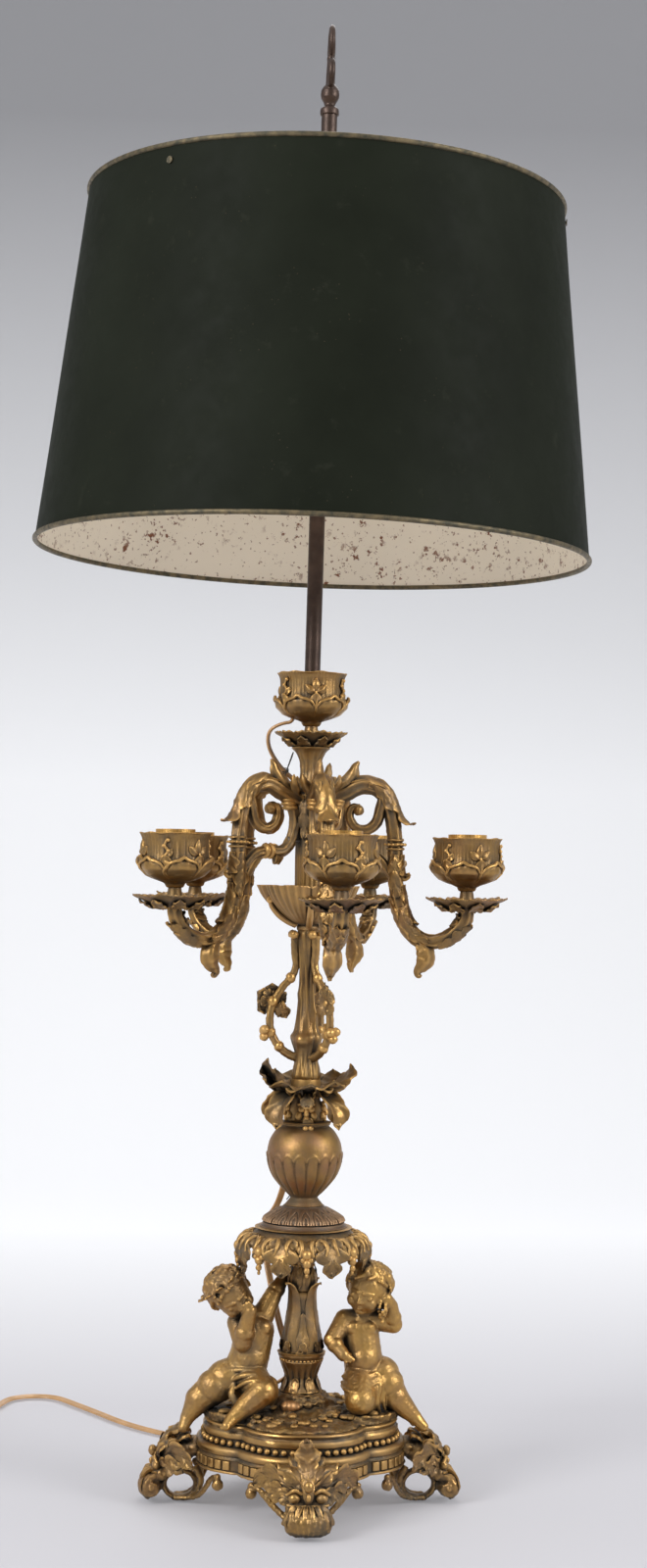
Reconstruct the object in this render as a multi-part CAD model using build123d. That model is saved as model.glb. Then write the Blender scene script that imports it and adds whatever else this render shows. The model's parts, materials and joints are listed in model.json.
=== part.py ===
"""A gilt five-arm candelabra on four scrolled feet, fitted as a table lamp.

Millimetres, +Z up, origin on the floor at the middle of the base, the front foot towards -Y.
Tables whose names end in shares hold places as parts of the size that they follow.
"""

import os
from math import asin, cos, hypot, pi, radians, sin, tan

from build123d import *

os.makedirs("parts", exist_ok=True)

# Clearances
FIT = 0.05  # between a part and the part that fits round it
SEAT_GAP = 0.3  # between a loose or soft part and what it lies on
OVERRUN = 20.0  # how far a cutting tool runs past what it cuts

# Plinth: eight shallow lobes, hollow underneath
PLINTH_FOOT = 29.0  # height of its lower edge above the floor
PLINTH_H = 32.5
PLINTH_CARDINAL_R = 75.0  # lobe joints over the feet
PLINTH_DIAGONAL_R = 68.0  # lobe joints between the feet
LOBE_RISE = 5.5  # how far each lobe stands out of its chord
PLINTH_WALL = 4.0
PLINTH_TOP_WALL = 5.0
PLINTH_LAYER_SHARES = (
    # low, high, inset as a share of the cardinal radius
    (0.00, 0.05, 0.000),
    (0.05, 0.29, 0.014),
    (0.29, 0.54, 0.000),
    (0.54, 0.71, 0.075),
    (0.71, 0.88, 0.105),
    (0.88, 1.00, 0.085),
)

# Feet, one under each cardinal lobe joint
FOOT_REACH = 114.0  # from the middle of the base to the toe
FOOT_H = 58.0
FOOT_WEB = 12.0  # thickness of the pierced web
FOOT_W = 68.0  # width of the shield in front of the web
FOOT_RING_R = 11.0
FOOT_RING_HOLE_R = 7.0
FOOT_RING_SHARE = 0.72  # ring centre, of the reach
EAR_DROP_R = 4.2
SOLE_CUT = 0.6  # the ring is filed flat by this much
FOOT_SCREW_R = 2.5
FOOT_SCREW_HEAD_R = 4.5
FOOT_SCREW_HEAD_H = 3.0
FOOT_SCREW_LENGTH = 18.0
FOOT_SCREW_SHARE = 0.36  # height on the plinth
FOOT_WEB_SHARES = (
    (0.53, 0.94), (0.60, 0.97), (0.68, 1.00), (0.685, 0.94), (0.64, 0.86), (0.74, 0.74),
    (0.84, 0.62), (0.87, 0.50), (0.86, 0.40), (0.80, 0.36), (0.77, 0.30), (0.72, 0.36),
    (0.64, 0.28), (0.655, 0.10), (0.64, 0.02), (0.60, 0.12), (0.55, 0.26), (0.53, 0.50),
)
FOOT_SHELL_SHARES = (
    (0.56, 0.96), (0.66, 0.87), (0.78, 0.76), (0.855, 0.62), (0.87, 0.50), (0.86, 0.42),
    (0.93, 0.42), (0.985, 0.34), (1.00, 0.25), (0.98, 0.14), (0.92, 0.07), (0.85, 0.08),
    (0.815, 0.18), (0.80, 0.32), (0.76, 0.46), (0.68, 0.58), (0.56, 0.64),
)
FOOT_SHIELD_SHARES = (
    (0.11, 1.00), (0.15, 0.86), (0.26, 0.78), (0.36, 0.70), (0.50, 0.60), (0.49, 0.50),
    (0.40, 0.46), (0.34, 0.38), (0.27, 0.32), (0.25, 0.16), (0.16, 0.06),
)
EAR_SHARES = ((0.70, 0.30, 0.50), (0.56, 0.53, 0.44))  # reach, width, height
EAR_R = 5.0

# Mound and rocks on the plinth
MOUND_R = 62.0
MOUND_H = 17.5
MOUND_TOP_R = 15.0
MOUND_SHARES = (
    (1.00, 0.00), (0.97, 0.11), (0.84, 0.17), (0.655, 0.25), (0.503, 0.42), (0.352, 0.72), (0.268, 1.00),
)
ROCK_H = 6.0
ROCK_SHARES = ((0.62, -0.62), (1.06, -0.48), (1.12, 0.05), (1.00, 0.44), (0.60, 0.50), (0.52, -0.10))

# Flower spray at the front of the mound
SPRAY_R = 17.0  # from the column axis
SPRAY_SHARES = (
    # along, out, height, radius, each of the spray's distance from the axis
    (0.00, 1.22, 0.84, 0.20), (0.32, 1.16, 0.88, 0.19), (-0.30, 1.14, 0.90, 0.18),
    (0.60, 1.22, 0.76, 0.18), (0.22, 1.42, 0.68, 0.18), (-0.16, 1.44, 0.66, 0.18),
)
STONE_SHARES = ((-0.72, 1.30, 0.70), (-0.42, 1.42, 0.64))
STONE_R = 3.4

# Column: pieces stacked on one tie rod
TIE_ROD_R = 3.0
TIE_NUT_R = 6.0
TIE_NUT_H = 5.0
TIE_WASHER_R = 14.0
TIE_WASHER_H = 1.5
CUP_BASE_R, CUP_BASE_H = 16.8, 28.0
VASE_R, VASE_H = 13.8, 43.0
VASE_TIP_R, VASE_TIP_H = 18.0, 12.5
VASE_TIPS = 4
NECK_R, NECK_H = 10.3, 39.0
SKIRT_R, SKIRT_H = 48.7, 12.0
SKIRT_LEAVES = 8
SKIRT_LEAF_H, SKIRT_LEAF_W = 19.0, 21.0
SKIRT_DROP_R = 3.2
CAP_R, CAP_H = 29.5, 15.0
URN_R, URN_H = 26.9, 60.0
WHORL_R, WHORL_H = 12.5, 22.0
WHORL_LEAVES = 4
WHORL_LEAF_R, WHORL_LEAF_DROP, WHORL_LEAF_W = 33.0, 24.0, 27.0
LEAF_CUP_R, LEAF_CUP_H = 10.0, 8.0
LEAF_CUP_SPREAD, LEAF_CUP_RISE = 33.0, 17.0
LEAF_CUP_LEAVES = 5
LEAF_CUP_TURN = 8.0
TRUNK_R, TRUNK_H = 11.5, 106.0
DISH_R, DISH_H = 37.5, 32.0
DISH_FLOOR_H = 9.0
DISH_LOBES = 5
DISH_TURN = -18.0
HUB_R, HUB_H = 12.3, 96.0
HUB_WAIST_SHARE = 0.82
CROWN_R, CROWN_H = 13.6, 27.0
LEAF_T = 2.0  # thickness of a cast leaf

CUP_BASE_SHARES = (
    (0.84, 0.00), (0.85, 0.07), (0.75, 0.18), (0.67, 0.29), (0.69, 0.39), (0.81, 0.57),
    (0.92, 0.75), (0.94, 0.80), (0.94, 0.84), (0.99, 0.90), (1.00, 0.95), (0.97, 1.00),
)
VASE_SHARES = ((0.93, 0.00), (1.00, 0.09), (0.96, 0.26), (0.81, 0.53), (0.70, 0.79), (0.67, 1.00))
VASE_TIP_SHARES = ((0.50, 0.00), (0.62, 0.40), (0.98, 0.86), (1.00, 1.00), (0.60, 0.58), (0.50, 0.32))
NECK_SHARES = (
    (0.76, 0.00), (0.88, 0.11), (1.00, 0.23), (0.86, 0.36), (0.75, 0.44), (0.76, 0.51),
    (0.84, 0.57), (0.88, 0.66), (0.76, 0.78), (0.72, 0.88), (0.86, 1.00),
)
SKIRT_SHARES = (
    (0.24, 0.42), (0.29, 0.60), (0.69, 0.56), (0.90, 0.20), (0.99, 0.00), (1.00, 0.16),
    (0.91, 0.48), (0.67, 1.00),
)
CAP_SHARES = ((1.00, 0.00), (1.00, 0.20), (0.97, 0.24), (0.82, 0.56), (0.58, 0.83), (0.48, 1.00))
URN_FOOT_SHARES = ((0.48, 0.00), (0.46, 0.03), (0.38, 0.08), (0.38, 0.10))
URN_BODY_SHARES = (
    (0.38, 0.10), (0.56, 0.18), (0.84, 0.33), (0.98, 0.48), (1.00, 0.61), (0.94, 0.76),
    (0.79, 0.88), (0.63, 0.945),
)
URN_COLLAR_SHARES = ((0.63, 0.945), (0.67, 0.96), (0.67, 0.98), (0.63, 1.00))
WHORL_SHARES = ((0.96, 0.00), (1.00, 0.20), (1.00, 0.46), (0.86, 0.68), (0.86, 0.86), (0.96, 1.00))
TRUNK_SHARES = (
    (0.83, 0.00), (0.81, 0.06), (0.70, 0.12), (0.68, 0.17), (0.82, 0.22), (1.00, 0.28),
    (0.76, 0.32), (0.68, 0.36), (0.59, 0.48), (0.50, 0.67), (0.52, 0.80), (0.60, 0.91), (0.65, 1.00),
)
DISH_OUTER_SHARES = (
    (0.20, 0.00), (0.20, 0.14), (0.32, 0.17), (0.62, 0.40), (0.87, 0.70), (0.99, 0.97), (1.00, 1.00),
)
DISH_INNER_SHARES = ((0.94, 1.00), (0.81, 0.74), (0.58, 0.47), (0.34, 0.28))
HUB_SHARES = (
    (0.82, 0.00), (0.82, 0.30), (0.82, 0.60), (0.82, 0.86), (0.97, 0.905), (1.00, 0.93),
    (0.94, 0.96), (0.70, 1.00),
)
CROWN_SHARES = (
    (0.63, 0.00), (0.56, 0.20), (0.55, 0.38), (0.61, 0.60), (0.78, 0.80), (1.00, 0.91), (0.76, 1.00),
)

# Vine loops beside the trunk
VINE_ANGLES = (-175.4, -55.4, 64.6)
VINE_R = 2.5
VINE_BERRY_R = 3.4
VINE_LEAF_W, VINE_LEAF_H = 22.0, 19.0
VINE_SHARES = (
    # out and up, of the trunk's height
    (0.085, 0.965), (0.085, 0.86), (0.075, 0.77), (0.105, 0.685), (0.165, 0.62), (0.225, 0.52),
    (0.25, 0.42), (0.24, 0.31), (0.19, 0.22), (0.12, 0.165), (0.05, 0.14),
)
VINE_BERRY_SHARES = ((0.292, 0.335), (0.285, 0.29))
VINE_LEAF_SHARES = (0.245, 0.51)

# Arms
ARM_ANGLES = (-6.9, -82.1, -148.3, 135.3, 62.3)
ARM_REACH = 112.6  # from the column axis to the candle cup's axis
ARM_ROOT_SHARE = 0.905  # height of the roots on the hub
ARM_R = 4.7
ARM_ROOT_R = 5.4
STRUT_R = 3.0
VOLUTE_R = 2.6
TENON_W, TENON_H, TENON_DEPTH = 4.0, 6.0, 4.5
ARM_SCREW_R, ARM_SCREW_HEAD_R, ARM_SCREW_HEAD_H, ARM_SCREW_LENGTH = 1.5, 2.8, 1.6, 7.0
ARM_FOOT_SHARE = 0.155  # the strut's foot, to the axis, of the reach
ARM_SHARES = (
    # out and up from the root, of the reach
    (0.150, -0.010), (0.225, 0.020), (0.314, 0.066), (0.382, 0.066), (0.446, 0.036), (0.496, -0.040),
    (0.527, -0.151), (0.544, -0.302), (0.545, -0.440), (0.555, -0.570), (0.580, -0.690),
    (0.622, -0.800), (0.690, -0.880), (0.784, -0.912), (0.880, -0.885), (0.950, -0.830),
    (0.992, -0.765), (1.000, -0.706),
)
VOLUTE_SHARES = (
    (0.455, 0.015), (0.450, -0.075), (0.418, -0.170), (0.350, -0.212), (0.285, -0.190),
    (0.252, -0.128), (0.268, -0.070), (0.318, -0.066),
)
STRUT_SHARES = (
    (0.165, -0.040), (0.126, -0.105), (0.122, -0.190), (0.150, -0.285), (0.215, -0.350),
    (0.320, -0.352), (0.420, -0.375), (0.500, -0.460), (0.535, -0.520),
)
ARM_LIMB_SHARES = (
    # leaves, collar and buds as tapered rods: out, up, radius, out, up, radius, of the reach
    (0.190, 0.020, 0.035, 0.315, 0.195, 0.010),
    (0.500, -0.005, 0.030, 0.612, -0.085, 0.010),
    (0.548, -0.535, 0.022, 0.622, -0.530, 0.018),
    (0.725, -0.935, 0.034, 0.740, -1.005, 0.058),
    (0.740, -1.030, 0.050, 0.700, -1.118, 0.012),
    (0.240, -0.370, 0.022, 0.270, -0.440, 0.012),
    (0.555, -0.520, 0.048, 0.575, -0.660, 0.050),
)
ARM_COLLAR_SHARES = (0.544, -0.305)
ARM_COLLAR_R, ARM_COLLAR_H = 6.2, 3.6

# Drip pans and candle cups
PAN_R, PAN_H = 29.0, 8.5
TOP_PAN_R, TOP_PAN_H = 26.0, 9.5
PAN_LOBES = 10
PAN_SCALLOP = 2.2
PAN_OUTER_SHARES = ((0.38, 0.00), (0.50, 0.14), (0.70, 0.46), (0.98, 0.84), (1.00, 0.90), (1.00, 1.00))
PAN_INNER_SHARES = ((0.94, 1.00), (0.68, 0.64), (0.48, 0.40), (0.36, 0.36))
PAN_FLOOR_SHARE = 0.36
CUP_R, CUP_H = 25.3, 34.6
CUP_STEM_R = 6.2
CUP_STEM_H = 13.9  # from the pan's floor to the cup's bowl
CUP_FLOOR_H = 4.5
CUP_BORE_R = 21.4
CUP_MOUTH_R = 23.6
CUP_FLOOR_R = 19.2
CUP_STUD_R = 2.5
CUP_STEM_SHARES = ((1.00, 0.00), (0.86, 0.30), (0.74, 0.72), (0.74, 1.00))
CUP_BOWL_SHARES = (
    (0.18, 0.00), (0.40, 0.035), (0.72, 0.13), (0.95, 0.28), (1.00, 0.38), (0.975, 0.48),
    (0.93, 0.58), (0.92, 0.74), (0.935, 0.88), (0.99, 1.00),
)
INSERT_R, INSERT_BORE_R, INSERT_H = 13.7, 11.2, 32.0
INSERT_FLANGE_R, INSERT_FLANGE_H = 18.4, 2.0
INSERT_FLOOR_H = 3.0

# Lamp fittings, which lean a little with their rod
LEAN = 0.85  # degrees towards +X
LEAN_PIVOT = 575.0
ROD_R, ROD_BORE_R = 5.6, 3.7
ROD_LOW, ROD_H = 572.0, 422.0
BUSH_H = 11.0
BUSH_R = 20.8
BUSH_RAISE = 2.0  # its foot above the rod's end
SHADE_TOP_R, SHADE_BOTTOM_R = 169.0, 197.0
SHADE_TILT = 0.7  # degrees more than the rod, at the spider's hub
SHADE_LOW, SHADE_H = 676.0, 249.0
SHADE_T = 0.6
RIM_R, RIM_SIDES = 1.8, 16
SPIDER_DROP = 11.0  # of its arms below the top rim
SPIDER_ANGLES = (-131.0, -11.0, 109.0)
SPIDER_HUB_R, SPIDER_HUB_H = 9.0, 10.0
SPIDER_ARM_R = 1.9
SPIDER_PAD_R, SPIDER_PAD_T = 4.5, 2.4
RIVET_R, RIVET_HEAD_R, RIVET_HEAD_T = 1.1, 2.4, 1.0
CLAMP_R, CLAMP_H = 9.5, 12.0
THUMB_SHAFT_R, THUMB_SHAFT_L = 1.8, 12.0
THUMB_WING_R, THUMB_WING_T = 6.5, 2.6
THUMB_ANGLE = 150.0
CLUSTER_LOW, CLUSTER_H = 722.0, 15.0
CLUSTER_R = 11.0
SOCKET_OFFSET = 42.0
SOCKET_ARM_R = 4.5
SOCKET_R, SOCKET_BORE_R, SOCKET_H = 16.5, 13.6, 56.0
SOCKET_FLOOR_H = 8.0
SEAT_R, SEAT_H = 17.5, 7.0
KNOB_BOSS_R, KNOB_BOSS_L = 4.5, 6.0
KNOB_SHAFT_R = 1.5
KNOB_R, KNOB_L = 6.5, 11.0
KNOB_SHARE = 0.36  # height on the socket
BULB_BASE_R, BULB_BASE_H = 13.3, 49.0
BULB_R, BULB_H = 24.0, 104.0
FINIAL_BALL_R = 6.5
FINIAL_NECK_R = 3.85
FINIAL_CAP_R, FINIAL_CAP_H = 6.7, 5.0
FINIAL_SPIGOT_L = 8.0
FINIAL_RING_R, FINIAL_WIRE_R = 9.0, 2.5
FINIAL_H = 60.0  # from the rod's end to the top of the loop
FINIAL_SCROLL_R = 6.5

# Cord: a flat twin lead from the top cup to its coil and plug
CORD_D = 5.6
COIL_TURNS = 7
COIL_LAYERS = 2
COIL_OUTER_R = 42.0
COIL_PITCH = 6.4
COIL_CENTRE = (-292.6, 217.7)
COIL_LEAD = 5.6  # straight ends of the coil
COIL_TAIL = 30.0  # from the last turn to the cord's drop to the plug
TAIL_DROP_SHARE = 0.9
PLUG_L, PLUG_W, PLUG_T = 22.0, 20.0, 12.0
PIN_L, PIN_W, PIN_T, PIN_GAP = 16.0, 6.3, 1.5, 12.7
CORD_HOLE_R = 4.2
RUN_SHARE = 0.45  # of the shorter run that an arc may take
RISER_POINTS = (
    (-12.0, 0.0, 565.0), (-12.0, 0.5, 555.2), (-22.5, 3.0, 554.4), (-35.0, 5.5, 549.0),
    (-35.0, 7.5, 536.5), (-27.0, 10.0, 526.0), (-19.0, 12.5, 520.0), (-10.5, 15.0, 514.5),
    (-4.0, 18.5, 505.5), (-2.5, 20.0, 492.0), (-2.0, 22.0, 472.0), (0.5, 32.0, 456.0),
    (2.5, 43.0, 443.0), (3.0, 46.0, 425.0), (2.6, 45.0, 390.0), (2.4, 43.0, 350.0),
    (1.5, 42.5, 312.0), (-1.5, 40.0, 283.0), (-6.0, 36.5, 258.0), (-10.0, 33.0, 236.0),
    (-13.0, 32.0, 219.0), (-17.0, 39.5, 205.0), (-22.5, 51.0, 195.5), (-25.5, 53.5, 181.0),
    (-24.0, 49.0, 164.0), (-21.0, 39.5, 149.0), (-17.7, 30.5, 133.0), (-13.0, 26.0, 114.5),
    (-6.5, 26.5, 99.0), (-5.0, 31.5, 85.5), (-11.0, 38.5, 77.5), (-22.5, 44.5, 71.5),
    (-35.0, 53.0, 68.5), (-44.5, 65.0, 59.0), (-51.0, 78.0, 43.0), (-57.0, 93.0, 26.0),
    (-63.0, 111.0, 12.0), (-68.0, 132.0, 4.4),
)
FLOOR_POINTS = (
    (-75.0, 158.0, 2.8), (-88.0, 184.0, 2.8), (-109.0, 203.0, 2.8), (-131.0, 231.0, 2.8),
    (-150.0, 264.0, 2.8), (-172.6, 301.0, 2.8), (-184.6, 319.6, 2.8), (-194.8, 325.9, 2.8),
    (-206.7, 327.2, 2.8), (-218.0, 323.2, 2.8), (-226.5, 314.8, 2.8), (-232.5, 293.5, 2.8),
    (-241.0, 263.0, 2.8), (-250.6, 240.0, 2.8), (-250.6, 223.3, 2.8),
)

# Putti
PUTTO_H = 100.0  # height of a kneeling child, from its seat to its crown
RIGHT_PUTTO_SHARES = {
    "head": (0.450, -0.055, 0.940, 0.130), "jaw": (0.425, -0.095, 0.895, 0.085),
    "neck": (0.430, -0.030, 0.785, 0.055),
    "chest": (0.400, -0.020, 0.645, 0.118), "belly": (0.385, -0.030, 0.400, 0.110),
    "left_shoulder": (0.300, -0.040, 0.710, 0.060), "left_elbow": (0.196, -0.130, 0.560, 0.043),
    "left_hand": (0.275, -0.205, 0.470, 0.036), "left_finger": (0.335, -0.215, 0.445, 0.012),
    "right_shoulder": (0.525, -0.020, 0.690, 0.060), "right_elbow": (0.660, -0.040, 0.680, 0.050),
    "right_wrist": (0.632, -0.090, 0.830, 0.036), "right_hand": (0.570, -0.150, 0.865, 0.042),
    "grapes": (0.535, -0.170, 0.790, 0.035),
    "hips": (0.440, -0.020, 0.285, 0.120), "hip_out": (0.560, -0.030, 0.300, 0.092),
    "knee_out": (0.675, -0.070, 0.140, 0.074), "ankle_out": (0.800, -0.095, 0.010, 0.040),
    "toes_out": (0.870, -0.120, -0.065, 0.030),
    "hip_in": (0.380, -0.080, 0.270, 0.090), "knee_in": (0.400, -0.230, 0.110, 0.082),
    "shin_in": (0.460, 0.020, 0.062, 0.055),
    "cloth_a": (0.360, -0.100, 0.230, 0.100), "cloth_b": (0.520, -0.090, 0.210, 0.095),
}
LEFT_PUTTO_SHARES = {
    "head": (-0.560, -0.085, 0.895, 0.130), "jaw": (-0.520, -0.140, 0.865, 0.085),
    "neck": (-0.450, -0.030, 0.765, 0.055),
    "chest": (-0.365, -0.020, 0.630, 0.115), "belly": (-0.380, -0.030, 0.430, 0.118),
    "left_shoulder": (-0.480, -0.060, 0.660, 0.062), "left_elbow": (-0.425, -0.170, 0.545, 0.050),
    "left_hand": (-0.385, -0.190, 0.790, 0.040), "left_finger": (-0.420, -0.205, 0.845, 0.026),
    "right_shoulder": (-0.290, -0.005, 0.725, 0.058), "right_elbow": (-0.220, 0.015, 0.860, 0.043),
    "right_wrist": (-0.175, 0.020, 0.925, 0.034), "right_hand": (-0.165, 0.015, 0.965, 0.034),
    "hips": (-0.440, -0.020, 0.300, 0.125), "hip_out": (-0.560, -0.030, 0.290, 0.098),
    "knee_out": (-0.710, -0.060, 0.140, 0.074), "ankle_out": (-0.820, -0.080, 0.010, 0.040),
    "toes_out": (-0.865, -0.100, -0.060, 0.030),
    "hip_in": (-0.350, -0.080, 0.280, 0.092), "knee_in": (-0.320, -0.230, 0.215, 0.076),
    "shin_in": (-0.500, -0.250, 0.052, 0.046),
    "cloth_a": (-0.340, -0.090, 0.260, 0.100), "cloth_b": (-0.460, -0.100, 0.220, 0.095),
}
PUTTO_LIMBS = (
    ("hips", "belly"), ("belly", "chest"), ("chest", "neck"), ("head", "jaw"),
    ("chest", "left_shoulder"), ("left_shoulder", "left_elbow"), ("left_elbow", "left_hand"),
    ("left_hand", "left_finger"), ("chest", "right_shoulder"), ("right_shoulder", "right_elbow"),
    ("right_elbow", "right_wrist"), ("right_wrist", "right_hand"),
    ("hips", "hip_out"), ("hip_out", "knee_out"), ("knee_out", "ankle_out"), ("ankle_out", "toes_out"),
    ("hips", "hip_in"), ("hip_in", "knee_in"), ("knee_in", "shin_in"), ("cloth_a", "cloth_b"), ("neck", "jaw"),
)
LEFT_LIMBS = PUTTO_LIMBS
RIGHT_LIMBS = (*PUTTO_LIMBS, ("right_hand", "grapes"))
NEST_SHARE = 0.012  # limbs that meet differ by this much, so that none of their balls coincide

# Sizes worked out from the plinth
LAYER_INSET = max(inset for low, high, inset in PLINTH_LAYER_SHARES) * PLINTH_CARDINAL_R
WALL_INSIDE_R = PLINTH_CARDINAL_R - LAYER_INSET - PLINTH_WALL  # of the plinth, over a foot
FOOT_SCREW_Z = PLINTH_FOOT + FOOT_SCREW_SHARE * PLINTH_H

# Heights worked out from the stack
PLINTH_TOP = PLINTH_FOOT + PLINTH_H
MOUND_TOP = PLINTH_TOP + MOUND_H
VASE_LOW = MOUND_TOP + CUP_BASE_H
NECK_LOW = VASE_LOW + VASE_H
SKIRT_SEAT = NECK_LOW + NECK_H
CAP_LOW = SKIRT_SEAT + SKIRT_H * (1 - SKIRT_SHARES[0][1])
SKIRT_LOW = CAP_LOW - SKIRT_H
URN_LOW = CAP_LOW + CAP_H
WHORL_LOW = URN_LOW + URN_H
LEAF_CUP_LOW = WHORL_LOW + WHORL_H
TRUNK_LOW = LEAF_CUP_LOW + LEAF_CUP_H
DISH_LOW = TRUNK_LOW + TRUNK_H
HUB_LOW = DISH_LOW + DISH_FLOOR_H
CROWN_LOW = HUB_LOW + HUB_H
TOP_PAN_LOW = CROWN_LOW + CROWN_H
TIE_BORE_R = TIE_ROD_R + FIT
ARM_Z = HUB_LOW + HUB_H * ARM_ROOT_SHARE
PAN_LOW = ARM_Z + ARM_SHARES[-1][1] * ARM_REACH
CUP_LOW = PAN_LOW + PAN_H * PAN_FLOOR_SHARE
CUP_BOWL_LOW = CUP_LOW + CUP_STEM_H
TOP_CUP_LOW = TOP_PAN_LOW + TOP_PAN_H * PAN_FLOOR_SHARE
TOP_BOWL_LOW = TOP_CUP_LOW + CUP_STEM_H
KNOB_Z = CLUSTER_LOW + CLUSTER_H + KNOB_SHARE * SOCKET_H


def scaled(shares, wide, tall, low=0.0):
    """Points from shares of a width and a height, raised to a level."""
    return [(a * wide, low + b * tall) for a, b in shares]


def turned(*runs):
    """A solid turned about Z from runs of (radius, height) points, smooth where a run has over two."""
    edges = []
    for run in runs:
        points = [(r, 0, z) for r, z in run]
        edges.append(Line(*points) if len(points) == 2 else Spline(*points))
    return revolve(make_face([edge.edge() for edge in edges]), Axis.Z)


def turned_plain(points):
    """A solid turned about Z from a closed outline of straight runs."""
    return revolve(make_face(Polyline(*[(r, 0, z) for r, z in points], close=True)), Axis.Z)


def column_piece(shares, radius, height, low, smooth=True):
    """A column piece round the tie rod, from the shares of its outer side."""
    outer = scaled(shares, radius, height, low)
    foot, head = (TIE_BORE_R, outer[0][1]), (TIE_BORE_R, outer[-1][1])
    if not smooth:
        return turned_plain([foot, *outer, head])
    return turned([foot, outer[0]], outer, [outer[-1], head], [head, foot])


def tube_of_wall(inner, outer, low, high):
    """A plain ring about Z."""
    return turned_plain([(inner, low), (outer, low), (outer, high), (inner, high)])


def rod_between(start, end, radius):
    """A plain round rod from one point to another."""
    along = Vector(*end) - Vector(*start)
    return extrude(Plane(origin=start, z_dir=along) * Circle(radius), along.length)


def limb(start, start_r, end, end_r):
    """A tapered rod with round ends, from one ball to another."""
    along = Vector(*end) - Vector(*start)
    length = along.length
    if length <= abs(start_r - end_r):
        return Pos(*start) * Sphere(max(start_r, end_r))
    lean = asin((start_r - end_r) / length)
    low_turn, high_turn = (lean - pi / 2) / 2, (lean + pi / 2) / 2
    low_tangent = (start_r * cos(lean), 0, start_r * sin(lean))
    high_tangent = (end_r * cos(lean), 0, length + end_r * sin(lean))
    outline = (
        ThreePointArc(
            (0, 0, -start_r), (start_r * cos(low_turn), 0, start_r * sin(low_turn)), low_tangent
        ),
        Line(low_tangent, high_tangent),
        ThreePointArc(
            high_tangent,
            (end_r * cos(high_turn), 0, length + end_r * sin(high_turn)),
            (0, 0, length + end_r),
        ),
        Line((0, 0, length + end_r), (0, 0, -start_r)),
    )
    solid = revolve(make_face([line.edge() for line in outline]), Axis.Z)
    return Plane(origin=start, z_dir=along) * solid


def turns_of(points):
    """The turn in degrees and the shorter run at each inner point of a route."""
    legs = [Vector(*b) - Vector(*a) for a, b in zip(points, points[1:])]
    return [(a.get_angle(b), min(a.length, b.length)) for a, b in zip(legs, legs[1:])]


def route(points):
    """Straight runs joined by arcs that are as large as the runs allow."""
    radii = [RUN_SHARE * run / tan(radians(turn) / 2) for turn, run in turns_of(points)]
    return FilletPolyline(*points, radius=radii), radii


def tube(points, radius):
    """A round tube along a route."""
    path, radii = route(points)
    section = Plane(origin=path @ 0, z_dir=path % 0) * Circle(radius)
    return sweep(section, path=path)


def around(shape, angle):
    """A shape turned about the column axis."""
    return Rot(0, 0, angle) * shape


def leaned(shape):
    """A shape set on the leaning axis of the lamp rod."""
    return Pos(0, 0, LEAN_PIVOT) * Rot(0, LEAN, 0) * Pos(0, 0, -LEAN_PIVOT) * shape


def in_arm_plane(shares):
    """Points in the upright plane of an arm, from shares of its reach."""
    return [(out * ARM_REACH, 0, ARM_Z + up * ARM_REACH) for out, up in shares]


def lobed_prism(count, valley, tip, turn, low, high):
    """An upright prism whose plan has round lobes between valleys."""
    edges = []
    step = 2 * pi / count
    for k in range(count):
        middle = radians(turn) + k * step
        ends = [(valley * cos(a), valley * sin(a)) for a in (middle - step / 2, middle + step / 2)]
        edges.append(ThreePointArc(ends[0], (tip * cos(middle), tip * sin(middle)), ends[1]))
    return Pos(0, 0, low) * extrude(make_face([edge.edge() for edge in edges]), high - low)


LEAF_SHARES = (
    (0.20, 0.00), (0.36, 0.08), (0.34, 0.20), (0.50, 0.30), (0.42, 0.42), (0.48, 0.58), (0.34, 0.66),
    (0.30, 0.82), (0.15, 0.88), (0.00, 1.00),
)


def leaf_prism(width, root, tip, near, far, angle):
    """A radial prism whose end view is a lobed leaf from a root height to a tip height."""
    side = [(t * width, root + h * (tip - root)) for t, h in LEAF_SHARES]
    outline = side + [(-t, z) for t, z in reversed(side[:-1])]
    face = make_face(Polyline(*[(near, t, z) for t, z in outline], close=True))
    return around(extrude(face, far - near, dir=(1, 0, 0)), angle)


def octofoil(inset, low, high):
    """A slab with the plinth's eight shallow lobes."""
    radii = (PLINTH_CARDINAL_R - inset, PLINTH_DIAGONAL_R - inset)
    edges = []
    for k in range(8):
        a, b = k * pi / 4, (k + 1) * pi / 4
        start = Vector(radii[k % 2] * cos(a), radii[k % 2] * sin(a))
        end = Vector(radii[(k + 1) % 2] * cos(b), radii[(k + 1) % 2] * sin(b))
        middle = (start + end) * 0.5
        crown = middle + middle.normalized() * LOBE_RISE
        edges.append(ThreePointArc(start, crown, end))
    return Pos(0, 0, low) * extrude(make_face([edge.edge() for edge in edges]), high - low)


def plinth_envelope():
    """The plinth as a filled block of stepped slabs."""
    block = None
    for low, high, inset in PLINTH_LAYER_SHARES:
        slab = octofoil(
            inset * PLINTH_CARDINAL_R, PLINTH_FOOT + low * PLINTH_H, PLINTH_FOOT + high * PLINTH_H
        )
        block = slab if block is None else block + slab
    return block


def foot_screw(angle):
    """A screw from inside the plinth wall into a foot."""
    shank = foot_screw_rod(WALL_INSIDE_R, WALL_INSIDE_R + FOOT_SCREW_LENGTH, FOOT_SCREW_R)
    head = foot_screw_rod(WALL_INSIDE_R - FOOT_SCREW_HEAD_H, WALL_INSIDE_R, FOOT_SCREW_HEAD_R)
    return around(shank + head, angle)


def foot_screw_rod(start, end, radius):
    """A level rod on the axis of a foot's screw."""
    return rod_between((start, 0, FOOT_SCREW_Z), (end, 0, FOOT_SCREW_Z), radius)


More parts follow.
